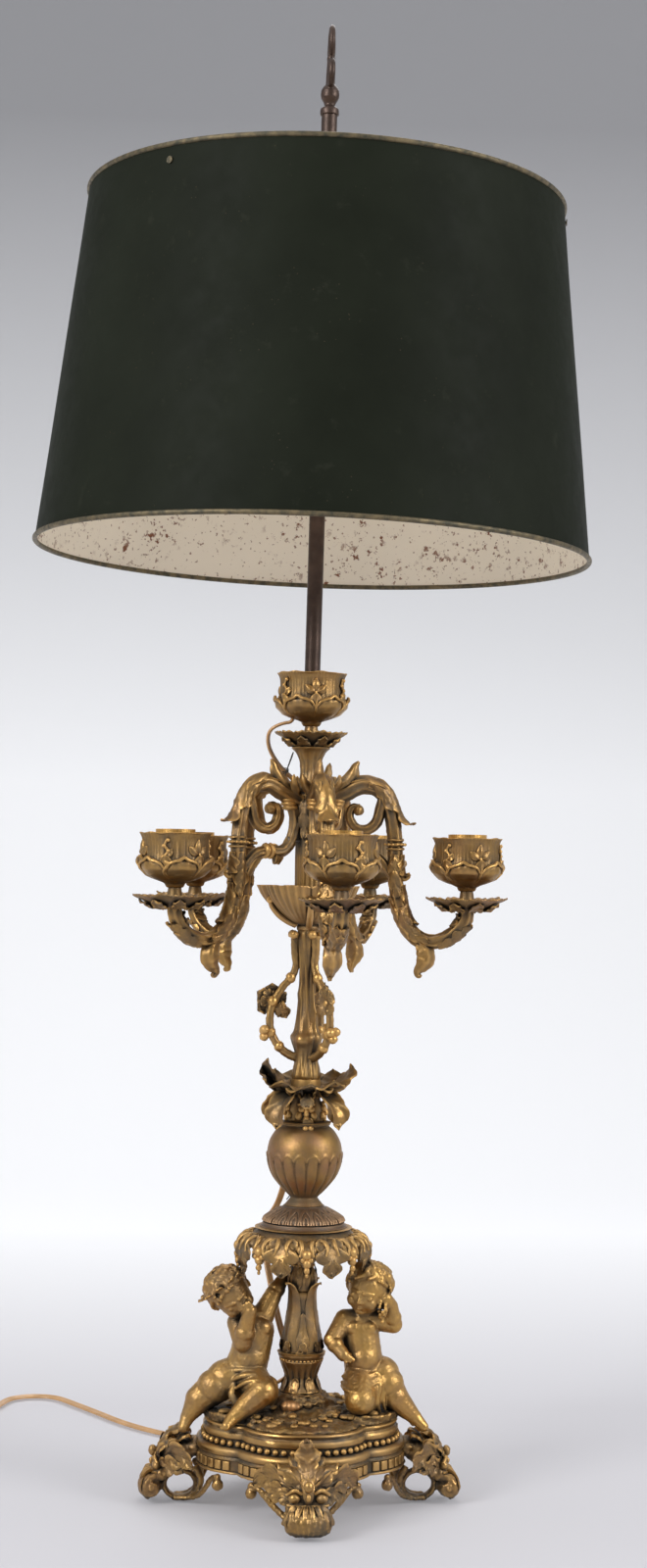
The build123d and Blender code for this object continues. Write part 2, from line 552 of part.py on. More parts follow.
def make_plinth(envelope):
    """The hollow plinth with its boss for the tie rod."""
    inside = octofoil(LAYER_INSET + PLINTH_WALL, PLINTH_FOOT - OVERRUN, PLINTH_TOP - PLINTH_TOP_WALL)
    bore = Pos(0, 0, PLINTH_TOP) * Cylinder(TIE_BORE_R, 2 * OVERRUN)
    plinth = envelope - inside - bore
    for angle in range(0, 360, 90):
        hole = foot_screw_rod(WALL_INSIDE_R, PLINTH_CARDINAL_R + OVERRUN, FOOT_SCREW_R + FIT)
        flat = Pos(WALL_INSIDE_R - OVERRUN / 2, 0, FOOT_SCREW_Z)
        flat *= Box(OVERRUN, 3 * FOOT_SCREW_HEAD_R, 3 * FOOT_SCREW_HEAD_R)
        plinth -= around(hole + flat, angle)
    return plinth


def side_prism(shares, thickness):
    """A foot's side outline, in the plane of its reach, given a thickness."""
    points = [(r, 0, z) for r, z in scaled(shares, FOOT_REACH, FOOT_H)]
    face = make_face(Polyline(*points, close=True))
    return extrude(face, thickness / 2, dir=(0, 1, 0), both=True)


def make_foot(envelope):
    """A scrolled foot towards +X, with its ring, shield, ears and ball drops."""
    ring_x, ring_z = FOOT_RING_SHARE * FOOT_REACH, FOOT_RING_R - SOLE_CUT
    ring = Pos(ring_x, 0, ring_z) * Rot(90, 0, 0) * Cylinder(FOOT_RING_R, FOOT_WEB)
    hole = Pos(ring_x, 0, ring_z) * Rot(90, 0, 0) * Cylinder(FOOT_RING_HOLE_R, FOOT_WEB + OVERRUN)
    web = side_prism(FOOT_WEB_SHARES, FOOT_WEB)
    side = scaled(FOOT_SHIELD_SHARES, FOOT_W, FOOT_H)
    outline = side + [(-t, z) for t, z in reversed(side)]
    front = make_face(Polyline(*[(0, t, z) for t, z in outline], close=True))
    shield = side_prism(FOOT_SHELL_SHARES, FOOT_W) & extrude(front, FOOT_REACH + OVERRUN, dir=(1, 0, 0))
    foot = web + ring - hole + shield
    for mirror_side in (1, -1):
        points = [(r * FOOT_REACH, mirror_side * w * FOOT_W, h * FOOT_H) for r, w, h in EAR_SHARES]
        foot += limb(points[0], EAR_R, points[1], EAR_R * 0.8)
        drop = (points[1][0], points[1][1], points[1][2] - EAR_DROP_R)
        foot += limb(points[1], EAR_DROP_R * 0.6, drop, EAR_DROP_R)
    foot -= envelope
    foot -= Pos(0, 0, -OVERRUN / 2) * Box(3 * FOOT_REACH, 3 * FOOT_REACH, OVERRUN)
    foot -= foot_screw_rod(WALL_INSIDE_R, WALL_INSIDE_R + FOOT_SCREW_LENGTH + FIT, FOOT_SCREW_R + FIT)
    return largest(foot)


def largest(shape):
    """The biggest solid of a shape, without any crumb that a cut left."""
    return max(shape.solids(), key=lambda solid: solid.volume)


def make_putto(shares, limbs, envelope):
    """A kneeling child as one casting, cut flat where it rests on the plinth."""
    places = {
        name: ((x * PUTTO_H, y * PUTTO_H, PLINTH_TOP + z * PUTTO_H), r * PUTTO_H)
        for name, (x, y, z, r) in shares.items()
    }
    pieces = []
    for k, (first, second) in enumerate(limbs):
        (start, start_r), (end, end_r) = places[first], places[second]
        fuller = 1 + NEST_SHARE * (k % 4)
        pieces.append(limb(start, start_r * fuller, end, end_r * fuller))
    return largest(pieces[0].fuse(*pieces[1:]) - envelope)


def make_mound(figures):
    """The rocky ground, cut to seat the children."""
    outer = scaled(MOUND_SHARES, MOUND_R, MOUND_H, PLINTH_TOP)
    ground = turned([(TIE_BORE_R, PLINTH_TOP), outer[0]], outer, [outer[-1], (TIE_BORE_R, MOUND_TOP)],
                    [(TIE_BORE_R, MOUND_TOP), (TIE_BORE_R, PLINTH_TOP)])
    for side in (1, -1):
        points = [(side * x * MOUND_R, y * MOUND_R) for x, y in ROCK_SHARES]
        rock = extrude(Pos(0, 0, PLINTH_TOP) * make_face(Polyline(*points, close=True)), ROCK_H)
        ground += rock
    ground &= octofoil(LAYER_INSET, PLINTH_TOP, MOUND_TOP + OVERRUN)
    for figure in figures:
        ground -= figure
    return largest(ground)


def make_spray(below):
    """Buds and a small stone on the front of the mound."""
    buds = [
        Pos(x * SPRAY_R, -y * SPRAY_R, PLINTH_TOP + z * SPRAY_R) * Sphere(r * SPRAY_R)
        for x, y, z, r in SPRAY_SHARES
    ]
    stone = [(x * SPRAY_R, -y * SPRAY_R, PLINTH_TOP + z * SPRAY_R) for x, y, z in STONE_SHARES]
    buds.append(limb(stone[0], STONE_R, stone[1], STONE_R))
    spray = buds[0].fuse(*buds[1:])
    return largest(spray - below)


def make_vase():
    """The leaf vase with its flared tips."""
    vase = column_piece(VASE_SHARES, VASE_R, VASE_H, VASE_LOW)
    low = VASE_LOW + VASE_H - VASE_TIP_H / 3
    flare = turned_plain(scaled(VASE_TIP_SHARES, VASE_TIP_R, VASE_TIP_H, low))
    tips = [
        flare & leaf_prism(VASE_TIP_R * 0.86, low - VASE_TIP_H / 2, low + VASE_TIP_H * 1.02, 0, 2 * VASE_TIP_R,
                           45 + k * 360 / VASE_TIPS)
        for k in range(VASE_TIPS)
    ]
    return vase.fuse(*tips)


def make_skirt():
    """The drip skirt with its hanging leaves and berry drops."""
    skirt = column_piece(SKIRT_SHARES, SKIRT_R, SKIRT_H, SKIRT_LOW, smooth=False)
    edge = SKIRT_LOW + SKIRT_H * SKIRT_SHARES[5][1]
    tip = edge - SKIRT_LEAF_H
    band = turned_plain([
        (SKIRT_R - 1.6 * LEAF_T, edge), (SKIRT_R - LEAF_T, tip), (SKIRT_R - LEAF_T / 4, tip), (SKIRT_R, edge),
    ])
    hung = []
    step = 360 / SKIRT_LEAVES
    for k in range(SKIRT_LEAVES):
        hung.append(band & leaf_prism(SKIRT_LEAF_W, edge + LEAF_T, tip, 0, 2 * SKIRT_R, 22.5 + k * step))
        radius = SKIRT_R - LEAF_T - SKIRT_DROP_R / 2
        top = around(Pos(radius, 0, edge - SKIRT_DROP_R) * Sphere(SKIRT_DROP_R), k * step)
        low = around(Pos(radius, 0, edge - 2.6 * SKIRT_DROP_R) * Sphere(SKIRT_DROP_R * 0.85), k * step)
        hung += [top, low]
    return skirt.fuse(*hung)


def make_urn():
    """The round urn on its foot, with its collar."""
    foot = scaled(URN_FOOT_SHARES, URN_R, URN_H, URN_LOW)
    body = scaled(URN_BODY_SHARES, URN_R, URN_H, URN_LOW)
    collar = scaled(URN_COLLAR_SHARES, URN_R, URN_H, URN_LOW)
    low, high = (TIE_BORE_R, foot[0][1]), (TIE_BORE_R, collar[-1][1])
    return turned([low, foot[0]], foot, body, *zip(collar, collar[1:]), [collar[-1], high], [high, low])


def make_whorl():
    """The masked neck with four broad drooping leaves."""
    neck = column_piece(WHORL_SHARES, WHORL_R, WHORL_H, WHORL_LOW)
    top = WHORL_LOW + WHORL_H - LEAF_T / 2
    tip = top - WHORL_LEAF_DROP
    reach = WHORL_LEAF_R
    outline = [
        (WHORL_R * 0.8, top - 2 * LEAF_T), (0.52 * reach, top - LEAF_T), (0.76 * reach, top - 2.6 * LEAF_T),
        (0.92 * reach, (top + tip) / 2), (reach - LEAF_T, tip), (reach, tip),
        (0.98 * reach, (top + tip) / 2), (0.80 * reach, top - LEAF_T), (0.54 * reach, top),
        (WHORL_R * 0.8, top - LEAF_T),
    ]
    bell = turned_plain(outline)
    leaves = [
        bell & leaf_prism(WHORL_LEAF_W, top + LEAF_T, tip, 0, 2 * reach, 45 + k * 360 / WHORL_LEAVES)
        for k in range(WHORL_LEAVES)
    ]
    mask = Pos(WHORL_R * 0.9, 0, WHORL_LOW + WHORL_H * 0.36) * Sphere(WHORL_R * 0.36)
    masks = [around(mask, k * 90) for k in range(4)]
    return neck.fuse(*leaves, *masks)


def make_leaf_cup():
    """The upturned leaf cup under the trunk."""
    hub = column_piece(((1.0, 0.0), (1.0, 1.0)), LEAF_CUP_R, LEAF_CUP_H, LEAF_CUP_LOW, smooth=False)
    low = LEAF_CUP_LOW + LEAF_T / 2
    spread, rise = LEAF_CUP_SPREAD, LEAF_CUP_RISE
    dish = turned_plain([
        (LEAF_CUP_R * 0.8, low), (0.55 * spread, low + LEAF_T / 2), (0.80 * spread, low + rise * 0.34),
        (spread, low + rise), (0.96 * spread, low + rise), (0.74 * spread, low + rise * 0.34 + LEAF_T / 2),
        (0.52 * spread, low + 1.5 * LEAF_T), (LEAF_CUP_R * 0.8, low + 1.5 * LEAF_T),
    ])
    leaves = [
        dish & leaf_plan(spread, LEAF_CUP_R * 0.8, LEAF_CUP_TURN + k * 360 / LEAF_CUP_LEAVES)
        for k in range(LEAF_CUP_LEAVES)
    ]
    return hub.fuse(*leaves)


def leaf_plan(tip, root, angle):
    """An upright prism whose plan is a broad lobed leaf."""
    length = tip - root
    side = [(root + h * length, t * length) for t, h in reversed(LEAF_SHARES)]
    outline = [(x * 1.02, y) for x, y in side] + [(x * 1.02, -y) for x, y in reversed(side[1:])]
    face = make_face(Polyline(*outline, close=True))
    return around(Pos(0, 0, LEAF_CUP_LOW - OVERRUN) * extrude(face, 4 * OVERRUN), angle)


def make_vine(trunk, angle):
    """A vine loop in an upright plane, with a leaf and two berries."""
    loop = tube([(out * TRUNK_H, 0, TRUNK_LOW + up * TRUNK_H) for out, up in VINE_SHARES], VINE_R)
    out, up = VINE_LEAF_SHARES
    leaf = Pos(out * TRUNK_H, 0, TRUNK_LOW + up * TRUNK_H) * Rot(0, 60, 0)
    leaf *= lobed_prism(5, VINE_LEAF_H * 0.38, VINE_LEAF_W / 2, 0, -LEAF_T, LEAF_T)
    berries = [
        Pos(r * TRUNK_H, side * VINE_BERRY_R * 0.7, TRUNK_LOW + z * TRUNK_H) * Sphere(VINE_BERRY_R)
        for (r, z), side in zip(VINE_BERRY_SHARES, (1, -1))
    ]
    vine = around(loop.fuse(leaf, *berries), angle)
    return largest(vine - trunk)


def make_dish():
    """The shell dish and its abacus."""
    outer = scaled(DISH_OUTER_SHARES, DISH_R, DISH_H, DISH_LOW)
    inner = scaled(DISH_INNER_SHARES, DISH_R, DISH_H, DISH_LOW)
    floor = [(HUB_R, HUB_LOW), (TIE_BORE_R, HUB_LOW), (TIE_BORE_R, DISH_LOW)]
    dish = turned_plain([*outer, *inner, *floor])
    dish &= lobed_prism(DISH_LOBES, DISH_R * 0.90, DISH_R, DISH_TURN, DISH_LOW, DISH_LOW + DISH_H)
    return dish


def arm_tenon(clearance):
    """The tenon on an arm's root, or its pocket in the hub."""
    length = TENON_DEPTH + OVERRUN / 2
    start = HUB_R - TENON_DEPTH - clearance
    return Pos(start + length / 2, 0, ARM_Z) * Box(length, TENON_W + 2 * clearance, TENON_H + 2 * clearance)


def arm_screw_rod(radius, start, end):
    """A rod along an arm's screw at the strut's foot."""
    height = ARM_Z + STRUT_SHARES[3][1] * ARM_REACH
    return rod_between((start, 0, height), (end, 0, height), radius)


def make_hub():
    """The arm hub with its pockets and screw holes."""
    hub = column_piece(HUB_SHARES, HUB_R, HUB_H, HUB_LOW, smooth=False)
    waist = HUB_R * HUB_WAIST_SHARE
    for angle in ARM_ANGLES:
        hub -= around(arm_tenon(FIT), angle)
        start = waist - ARM_SCREW_LENGTH / 2 - FIT
        hub -= around(arm_screw_rod(ARM_SCREW_R + FIT, start, waist + OVERRUN), angle)
    return hub


def make_arm():
    """A leafy arm towards +X, from the hub to the stud of its candle cup."""
    stem = tube(in_arm_plane(ARM_SHARES), ARM_R)
    volute_points = in_arm_plane(VOLUTE_SHARES)
    strut_points = in_arm_plane(STRUT_SHARES)
    pieces = [tube(volute_points, VOLUTE_R), Pos(*volute_points[-1]) * Sphere(VOLUTE_R * 1.3)]
    pieces.append(tube(strut_points, STRUT_R))
    for x0, z0, r0, x1, z1, r1 in ARM_LIMB_SHARES:
        start, end = in_arm_plane(((x0, z0), (x1, z1)))
        pieces.append(limb(start, r0 * ARM_REACH, end, r1 * ARM_REACH))
    collar = in_arm_plane((ARM_COLLAR_SHARES,))[0]
    pieces.append(Pos(*collar) * Cylinder(ARM_COLLAR_R, ARM_COLLAR_H))
    root_end = in_arm_plane((ARM_SHARES[2],))[0]
    pieces.append(limb((HUB_R, 0, ARM_Z), ARM_ROOT_R, root_end, ARM_R * 1.1))
    foot = in_arm_plane((STRUT_SHARES[3],))[0]
    boss_end = foot[0] + ARM_SCREW_HEAD_H
    waist = HUB_R * HUB_WAIST_SHARE
    pieces.append(rod_between((waist - FIT, 0, foot[2]), (boss_end, 0, foot[2]), STRUT_R * 1.3))
    arm = stem.fuse(*pieces)
    arm -= hub_space()
    arm += arm_tenon(0) & Pos(0, 0, ARM_Z) * Cylinder(HUB_R + STRUT_R, TENON_H + OVERRUN)
    arm -= arm_screw_rod(ARM_SCREW_R + FIT, 0, boss_end + OVERRUN)
    arm -= arm_screw_rod(ARM_SCREW_HEAD_R + FIT, boss_end - ARM_SCREW_HEAD_H / 4, boss_end + OVERRUN)
    arm = largest(arm)
    flat = Pos(ARM_REACH, 0, PAN_LOW + OVERRUN / 2) * Cylinder(ARM_R + 2 * FIT, OVERRUN)
    arm -= flat
    stud = Pos(ARM_REACH, 0, (PAN_LOW + CUP_BOWL_LOW + CUP_FLOOR_H) / 2 - FIT)
    stud *= Cylinder(CUP_STUD_R, CUP_BOWL_LOW + CUP_FLOOR_H - PAN_LOW)
    return largest(arm + stud)


def hub_space():
    """What the arms leave free for the hub, with a little clearance."""
    outer = [(r + FIT, z) for r, z in scaled(HUB_SHARES, HUB_R, HUB_H, HUB_LOW)]
    return turned_plain([(0, outer[0][1]), *outer, (0, outer[-1][1])])


def make_arm_screw():
    """A round-head screw through a strut's foot into the hub."""
    foot = in_arm_plane((STRUT_SHARES[3],))[0]
    seat = foot[0] + ARM_SCREW_HEAD_H - ARM_SCREW_HEAD_H / 4
    waist = HUB_R * HUB_WAIST_SHARE
    shank = arm_screw_rod(ARM_SCREW_R, waist - ARM_SCREW_LENGTH / 2, seat)
    return shank + arm_screw_rod(ARM_SCREW_HEAD_R, seat, seat + ARM_SCREW_HEAD_H)


def make_pan(radius, height, low, bore):
    """A scalloped drip pan."""
    outer = scaled(PAN_OUTER_SHARES, radius, height, low)
    inner = scaled(PAN_INNER_SHARES, radius, height, low)
    floor = low + height * PAN_FLOOR_SHARE
    dish = turned_plain([*outer, *inner, (bore, floor), (bore, low)])
    return dish & lobed_prism(PAN_LOBES, radius - PAN_SCALLOP, radius, 0, low - FIT, low + height + FIT)


def make_cup(low, bore):
    """A candle cup with its stem, from the pan's floor to its rim."""
    stem = scaled(CUP_STEM_SHARES, CUP_STEM_R, CUP_STEM_H, low)
    bowl_low = low + CUP_STEM_H
    bowl = scaled(CUP_BOWL_SHARES, CUP_R, CUP_H, bowl_low)
    floor, rim = bowl_low + CUP_FLOOR_H, bowl_low + CUP_H
    outline = [(bore, low), *stem, *bowl, (CUP_MOUTH_R, rim)]
    outline += [(CUP_BORE_R, rim - CUP_H / 6), (CUP_BORE_R, floor + CUP_H / 4)]
    outline += [(CUP_FLOOR_R, floor), (bore, floor)]
    return turned_plain(outline)


def make_insert():
    """A loose candle socket that stands on a cup's floor."""
    floor = CUP_BOWL_LOW + CUP_FLOOR_H
    top = floor + INSERT_H
    return turned_plain([
        (0, floor), (INSERT_FLANGE_R, floor), (INSERT_FLANGE_R, floor + INSERT_FLANGE_H),
        (INSERT_R, floor + INSERT_FLANGE_H), (INSERT_R, top), (INSERT_BORE_R, top),
        (INSERT_BORE_R, floor + INSERT_FLOOR_H), (0, floor + INSERT_FLOOR_H),
    ])


def shade_r(height, inset=0.0):
    """The shade's radius at a height above its lower edge."""
    return SHADE_BOTTOM_R + (SHADE_TOP_R - SHADE_BOTTOM_R) * height / SHADE_H - inset


def shade_profile():
    """Radii and heights of the sheet's section."""
    low, high = SHADE_LOW, SHADE_LOW + SHADE_H
    return [
        (shade_r(0, SHADE_T), low), (shade_r(0), low),
        (shade_r(SHADE_H), high), (shade_r(SHADE_H, SHADE_T), high),
    ]


def make_shade():
    """The conical sheet of the shade, with its three rivet holes."""
    sheet = turned_plain(shade_profile())
    for angle in SPIDER_ANGLES:
        sheet -= around(spider_rod(RIVET_R + FIT, SHADE_TOP_R / 2, SHADE_BOTTOM_R + OVERRUN), angle)
    return sheet


def spider_rod(radius, start, end):
    """A level rod at the height of the spider's arms."""
    height = SHADE_LOW + SHADE_H - SPIDER_DROP
    return rod_between((start, 0, height), (end, 0, height), radius)


def make_rim(radius, height):
    """A rolled bead round an edge of the shade, turned from a many-sided section."""
    bead = Pos(radius, height) * RegularPolygon(RIM_R, RIM_SIDES)
    band = make_face(Polyline(*shade_profile(), close=True))
    return revolve(Plane.XZ * (bead - band), Axis.Z)


def hung(shape):
    """A shape tilted a little more than the rod, at the height of the spider's arms."""
    height = SHADE_LOW + SHADE_H - SPIDER_DROP
    return Pos(0, 0, height) * Rot(0, SHADE_TILT, 0) * Pos(0, 0, -height) * shape


def make_spider():
    """A hub with three arms that carry the shade."""
    middle = SHADE_LOW + SHADE_H - SPIDER_DROP
    low, high = middle - SPIDER_HUB_H / 2, middle + SPIDER_HUB_H / 2
    hub = tube_of_wall(ROD_R + FIT, SPIDER_HUB_R, low, high)
    reach = shade_r(SHADE_H - SPIDER_DROP, SHADE_T)
    inside = turned_plain([
        (0, SHADE_LOW), (shade_r(0, SHADE_T + FIT), SHADE_LOW),
        (shade_r(SHADE_H, SHADE_T + FIT), SHADE_LOW + SHADE_H), (0, SHADE_LOW + SHADE_H),
    ])
    for angle in SPIDER_ANGLES:
        arm = spider_rod(SPIDER_ARM_R, SPIDER_HUB_R - SPIDER_ARM_R / 2, reach - SPIDER_PAD_T / 2)
        arm += spider_rod(SPIDER_PAD_R, reach - SPIDER_PAD_T, reach + SPIDER_PAD_T) & inside
        arm -= spider_rod(RIVET_R + FIT, reach - 2 * SPIDER_PAD_T, reach + OVERRUN)
        hub += hung(around(arm, angle))
    return largest(hub)


def make_rivet(angle):
    """A rivet through the shade into a spider arm."""
    reach = shade_r(SHADE_H - SPIDER_DROP)
    shank = spider_rod(RIVET_R, reach - SHADE_T - 2 * SPIDER_PAD_T + FIT, reach + RIVET_HEAD_T)
    head = spider_rod(RIVET_HEAD_R, reach + RIVET_HEAD_T / 3, reach + RIVET_HEAD_T)
    return around(shank + head, angle)


def clamp_low():
    """The lower face of the clamp under the spider's hub."""
    return SHADE_LOW + SHADE_H - SPIDER_DROP - SPIDER_HUB_H / 2 - CLAMP_H


def thumb_rod(radius, start, end):
    """A level rod on the thumb screw's axis."""
    height = clamp_low() + CLAMP_H / 2
    return around(rod_between((start, 0, height), (end, 0, height), radius), THUMB_ANGLE)


def make_clamp():
    """The collar that grips the rod under the shade."""
    collar = tube_of_wall(ROD_R + FIT, CLAMP_R, clamp_low(), clamp_low() + CLAMP_H)
    return collar - thumb_rod(THUMB_SHAFT_R + FIT, 0, CLAMP_R + OVERRUN)


def make_thumb_screw():
    """A winged screw in the clamp."""
    start = ROD_R + 2 * FIT
    shaft = thumb_rod(THUMB_SHAFT_R, start, start + THUMB_SHAFT_L)
    height = clamp_low() + CLAMP_H / 2
    wing = Pos(start + THUMB_SHAFT_L + THUMB_WING_R * 0.7, 0, height) * Rot(90, 0, 0)
    wing *= Cylinder(THUMB_WING_R, THUMB_WING_T)
    return shaft + around(wing, THUMB_ANGLE)


def make_cluster():
    """The two-light cluster on the rod."""
    low, high = CLUSTER_LOW, CLUSTER_LOW + CLUSTER_H
    body = tube_of_wall(ROD_R + FIT, CLUSTER_R, low, high)
    for side in (1, -1):
        start = (side * (CLUSTER_R + ROD_R) / 2, 0, low + CLUSTER_H / 2)
        end = (side * SOCKET_OFFSET, 0, low + CLUSTER_H / 2)
        body += rod_between(start, end, SOCKET_ARM_R)
        body += Pos(side * SOCKET_OFFSET, 0, high - SEAT_H / 2) * Cylinder(SEAT_R, SEAT_H)
    return body


def knob_rod(radius, start, end, side):
    """A level rod on a switch knob's axis."""
    return rod_between((side * start, 0, KNOB_Z), (side * end, 0, KNOB_Z), radius)


def make_socket(side):
    """A lamp socket with its boss for the switch knob."""
    low = CLUSTER_LOW + CLUSTER_H
    shell = turned_plain([
        (0, low), (SOCKET_R, low), (SOCKET_R, low + SOCKET_H), (SOCKET_BORE_R, low + SOCKET_H),
        (SOCKET_BORE_R, low + SOCKET_FLOOR_H), (0, low + SOCKET_FLOOR_H),
    ])
    shell = Pos(side * SOCKET_OFFSET, 0, 0) * shell
    inner, outer = SOCKET_OFFSET + SOCKET_BORE_R, SOCKET_OFFSET + SOCKET_R
    shell += knob_rod(KNOB_BOSS_R, (inner + outer) / 2, outer + KNOB_BOSS_L, side)
    return shell - knob_rod(KNOB_SHAFT_R + FIT, inner - FIT, outer + OVERRUN, side)


def make_knob(side):
    """A ribbed turn knob on its shaft."""
    face = SOCKET_OFFSET + SOCKET_R + KNOB_BOSS_L + SEAT_GAP
    knob = knob_rod(KNOB_SHAFT_R, SOCKET_OFFSET + SOCKET_BORE_R + SEAT_GAP, face, side)
    knob += knob_rod(KNOB_R * 0.55, face, face + KNOB_L * 0.45, side)
    grip = Pos(side * (face + KNOB_L * 0.7), 0, KNOB_Z) * Box(KNOB_L * 0.6, KNOB_R * 0.7, 2 * KNOB_R)
    return knob + grip


def make_bulb(side):
    """A small globe bulb on its screw base."""
    low = CLUSTER_LOW + CLUSTER_H + SOCKET_FLOOR_H
    neck = low + BULB_BASE_H
    top = low + BULB_H
    centre = top - BULB_R
    bulb = turned(
        [(0, low), (BULB_BASE_R, low)],
        [(BULB_BASE_R, low), (BULB_BASE_R, neck)],
        [(BULB_BASE_R, neck), (BULB_BASE_R * 1.12, neck + BULB_R * 0.28),
         (BULB_R * 0.97, centre - BULB_R * 0.25), (BULB_R * 0.88, centre + BULB_R * 0.47), (0, top)],
        [(0, top), (0, low)],
    )
    return Pos(side * SOCKET_OFFSET, 0, 0) * bulb


def make_finial():
    """The loop handle that screws on the rod's end."""
    rod_top = ROD_LOW + ROD_H
    ball_z = rod_top + FINIAL_BALL_R + FINIAL_CAP_H
    base = turned_plain([
        (0, rod_top - FINIAL_SPIGOT_L), (ROD_BORE_R - FIT, rod_top - FINIAL_SPIGOT_L),
        (ROD_BORE_R - FIT, rod_top + FIT), (ROD_R + FIT, rod_top + FIT),
        (ROD_R + FIT, rod_top - FINIAL_CAP_H), (FINIAL_CAP_R, rod_top - FINIAL_CAP_H),
        (FINIAL_CAP_R, rod_top + 0.2 * FINIAL_CAP_H), (FINIAL_NECK_R, rod_top + 0.4 * FINIAL_CAP_H),
        (FINIAL_NECK_R, ball_z), (0, ball_z),
    ])
    ball = Pos(0, 0, ball_z) * Sphere(FINIAL_BALL_R)
    top = rod_top + FINIAL_H
    ring_z = top - FINIAL_RING_R - FINIAL_WIRE_R
    ring = Pos(0, 0, ring_z) * Rot(0, 90, 0) * Torus(FINIAL_RING_R, FINIAL_WIRE_R)
    scroll_z = ball_z + FINIAL_BALL_R + FINIAL_SCROLL_R
    stem = limb((0, 0, ball_z), FINIAL_WIRE_R * 1.3, (0, 0, ring_z - FINIAL_RING_R), FINIAL_WIRE_R)
    scrolls = [
        Pos(0, side * (FINIAL_SCROLL_R + FINIAL_WIRE_R * 0.6), scroll_z) * Rot(0, 90, 0)
        * Torus(FINIAL_SCROLL_R, FINIAL_WIRE_R * 0.9)
        for side in (1, -1)
    ]
    return base.fuse(ball, ring, stem, *scrolls)


def make_tie_rod():
    """The tie rod, with its washer and nuts."""
    under = PLINTH_TOP - PLINTH_TOP_WALL
    top = TOP_BOWL_LOW + CUP_FLOOR_H
    washer = tube_of_wall(TIE_BORE_R, TIE_WASHER_R, under - TIE_WASHER_H, under)
    low_nut = Pos(0, 0, under - TIE_WASHER_H - TIE_NUT_H) * extrude(RegularPolygon(TIE_NUT_R, 6), TIE_NUT_H)
    high_nut = Pos(0, 0, top) * extrude(RegularPolygon(TIE_NUT_R, 6), TIE_NUT_H)
    rod_low, rod_high = under - TIE_WASHER_H - 1.4 * TIE_NUT_H, top + 1.4 * TIE_NUT_H
    rod = Pos(0, 0, (rod_low + rod_high) / 2) * Cylinder(TIE_ROD_R, rod_high - rod_low)
    thread = Pos(0, 0, (rod_low + rod_high) / 2) * Cylinder(TIE_BORE_R, rod_high - rod_low + OVERRUN)
    return Compound([rod.solid(), washer.solid(), (low_nut - thread).solid(), (high_nut - thread).solid()])


def coil_edges():
    """The coil's half turns, from the outside in, up a layer at the middle, and out again."""
    halves = COIL_TURNS * 2
    inward = halves // COIL_LAYERS
    step = COIL_PITCH / 2
    x, y = COIL_CENTRE[0] + COIL_OUTER_R, COIL_CENTRE[1]
    height = CORD_D / 2
    edges = [Line((x, y + COIL_LEAD, height), (x, y, height)).edge()]
    for k in range(halves):
        radius = COIL_OUTER_R - step * (k if k <= inward else 2 * inward - k)
        side = -1 if k % 2 == 0 else 1
        end_x = x + side * 2 * radius
        if k == inward:
            crown = (x + side * radius, y + side * radius, height + COIL_PITCH / 2)
            start, end = (x, y, height), (end_x, y, height + COIL_PITCH)
            edges.append(TangentArc(start, crown, tangent=(0, side, 0)).edge())
            edges.append(TangentArc(end, crown, tangent=(0, side, 0)).edge())
            height += COIL_PITCH
        else:
            crown = (x + side * radius, y + side * radius, height)
            edges.append(ThreePointArc((x, y, height), crown, (end_x, y, height)).edge())
        x = end_x
    return edges, (x, y, height)


def tail_points(end):
    """The cord's end, from the last turn over the coil and down to the plug."""
    x, y, height = end
    drop = y - COIL_TAIL
    return (
        (x, y, height), (x, drop, height), (x + CORD_D / 2, drop - COIL_TAIL * TAIL_DROP_SHARE, PLUG_T / 2),
        (x + CORD_D / 2, drop - 2 * COIL_TAIL * TAIL_DROP_SHARE, PLUG_T / 2),
    )


def least_gap(wire, spacing):
    """The least distance between the surfaces of stretches that are not neighbours."""
    count = int(wire.length / spacing)
    places = [wire.position_at(k / count) for k in range(count + 1)]
    points = [(place.X, place.Y, place.Z) for place in places]
    apart = int(4 * CORD_D / spacing)
    least = min(
        hypot(a[0] - b[0], a[1] - b[1], a[2] - b[2])
        for k, a in enumerate(points)
        for b in points[k + apart :]
    )
    return least - CORD_D


def make_coil():
    """The coiled cord as one unbroken tube, with its tail to the plug."""
    edges, end = coil_edges()
    tail, radii = route(tail_points(end))
    wire = Wire(edges + list(tail.edges()))
    print("coil: least gap to itself", round(least_gap(wire, CORD_D / 3), 2))
    start = (COIL_CENTRE[0] + COIL_OUTER_R, COIL_CENTRE[1] + COIL_LEAD, CORD_D / 2)
    section = Plane(origin=start, z_dir=(0, -1, 0)) * Circle(CORD_D / 2)
    coil = sweep(section, path=wire)
    report("coil", coil, wire.length)
    return coil


def make_lead():
    """The cord from the top cup to the coil."""
    path, radii = route(RISER_POINTS + FLOOR_POINTS)
    print("cord radii", [round(radius) for radius in radii])
    section = Plane(origin=path @ 0, z_dir=path % 0) * Circle(CORD_D / 2)
    lead = sweep(section, path=path)
    report("lead", lead, path.length)
    return lead


def report(name, solid, length):
    """Print a tube's length and how its volume compares with its section times its length."""
    share = solid.volume / (pi * (CORD_D / 2) ** 2 * length)
    print(name, "length", round(length), "volume share", round(share, 4))


def make_plug():
    """A flat two-pin plug on the floor beside the coil."""
    edges, end = coil_edges()
    x, y, z = tail_points(end)[-1]
    body = Pos(x, y - SEAT_GAP - PLUG_L / 2, z) * Box(PLUG_W, PLUG_L, PLUG_T)
    body = fillet(body.edges().filter_by(Axis.Y), PLUG_T / 4)
    for side in (1, -1):
        body += Pos(x + side * PIN_GAP / 2, y - PLUG_L - PIN_L / 2, z) * Box(PIN_T, PIN_L + PIN_T, PIN_W)
    return body


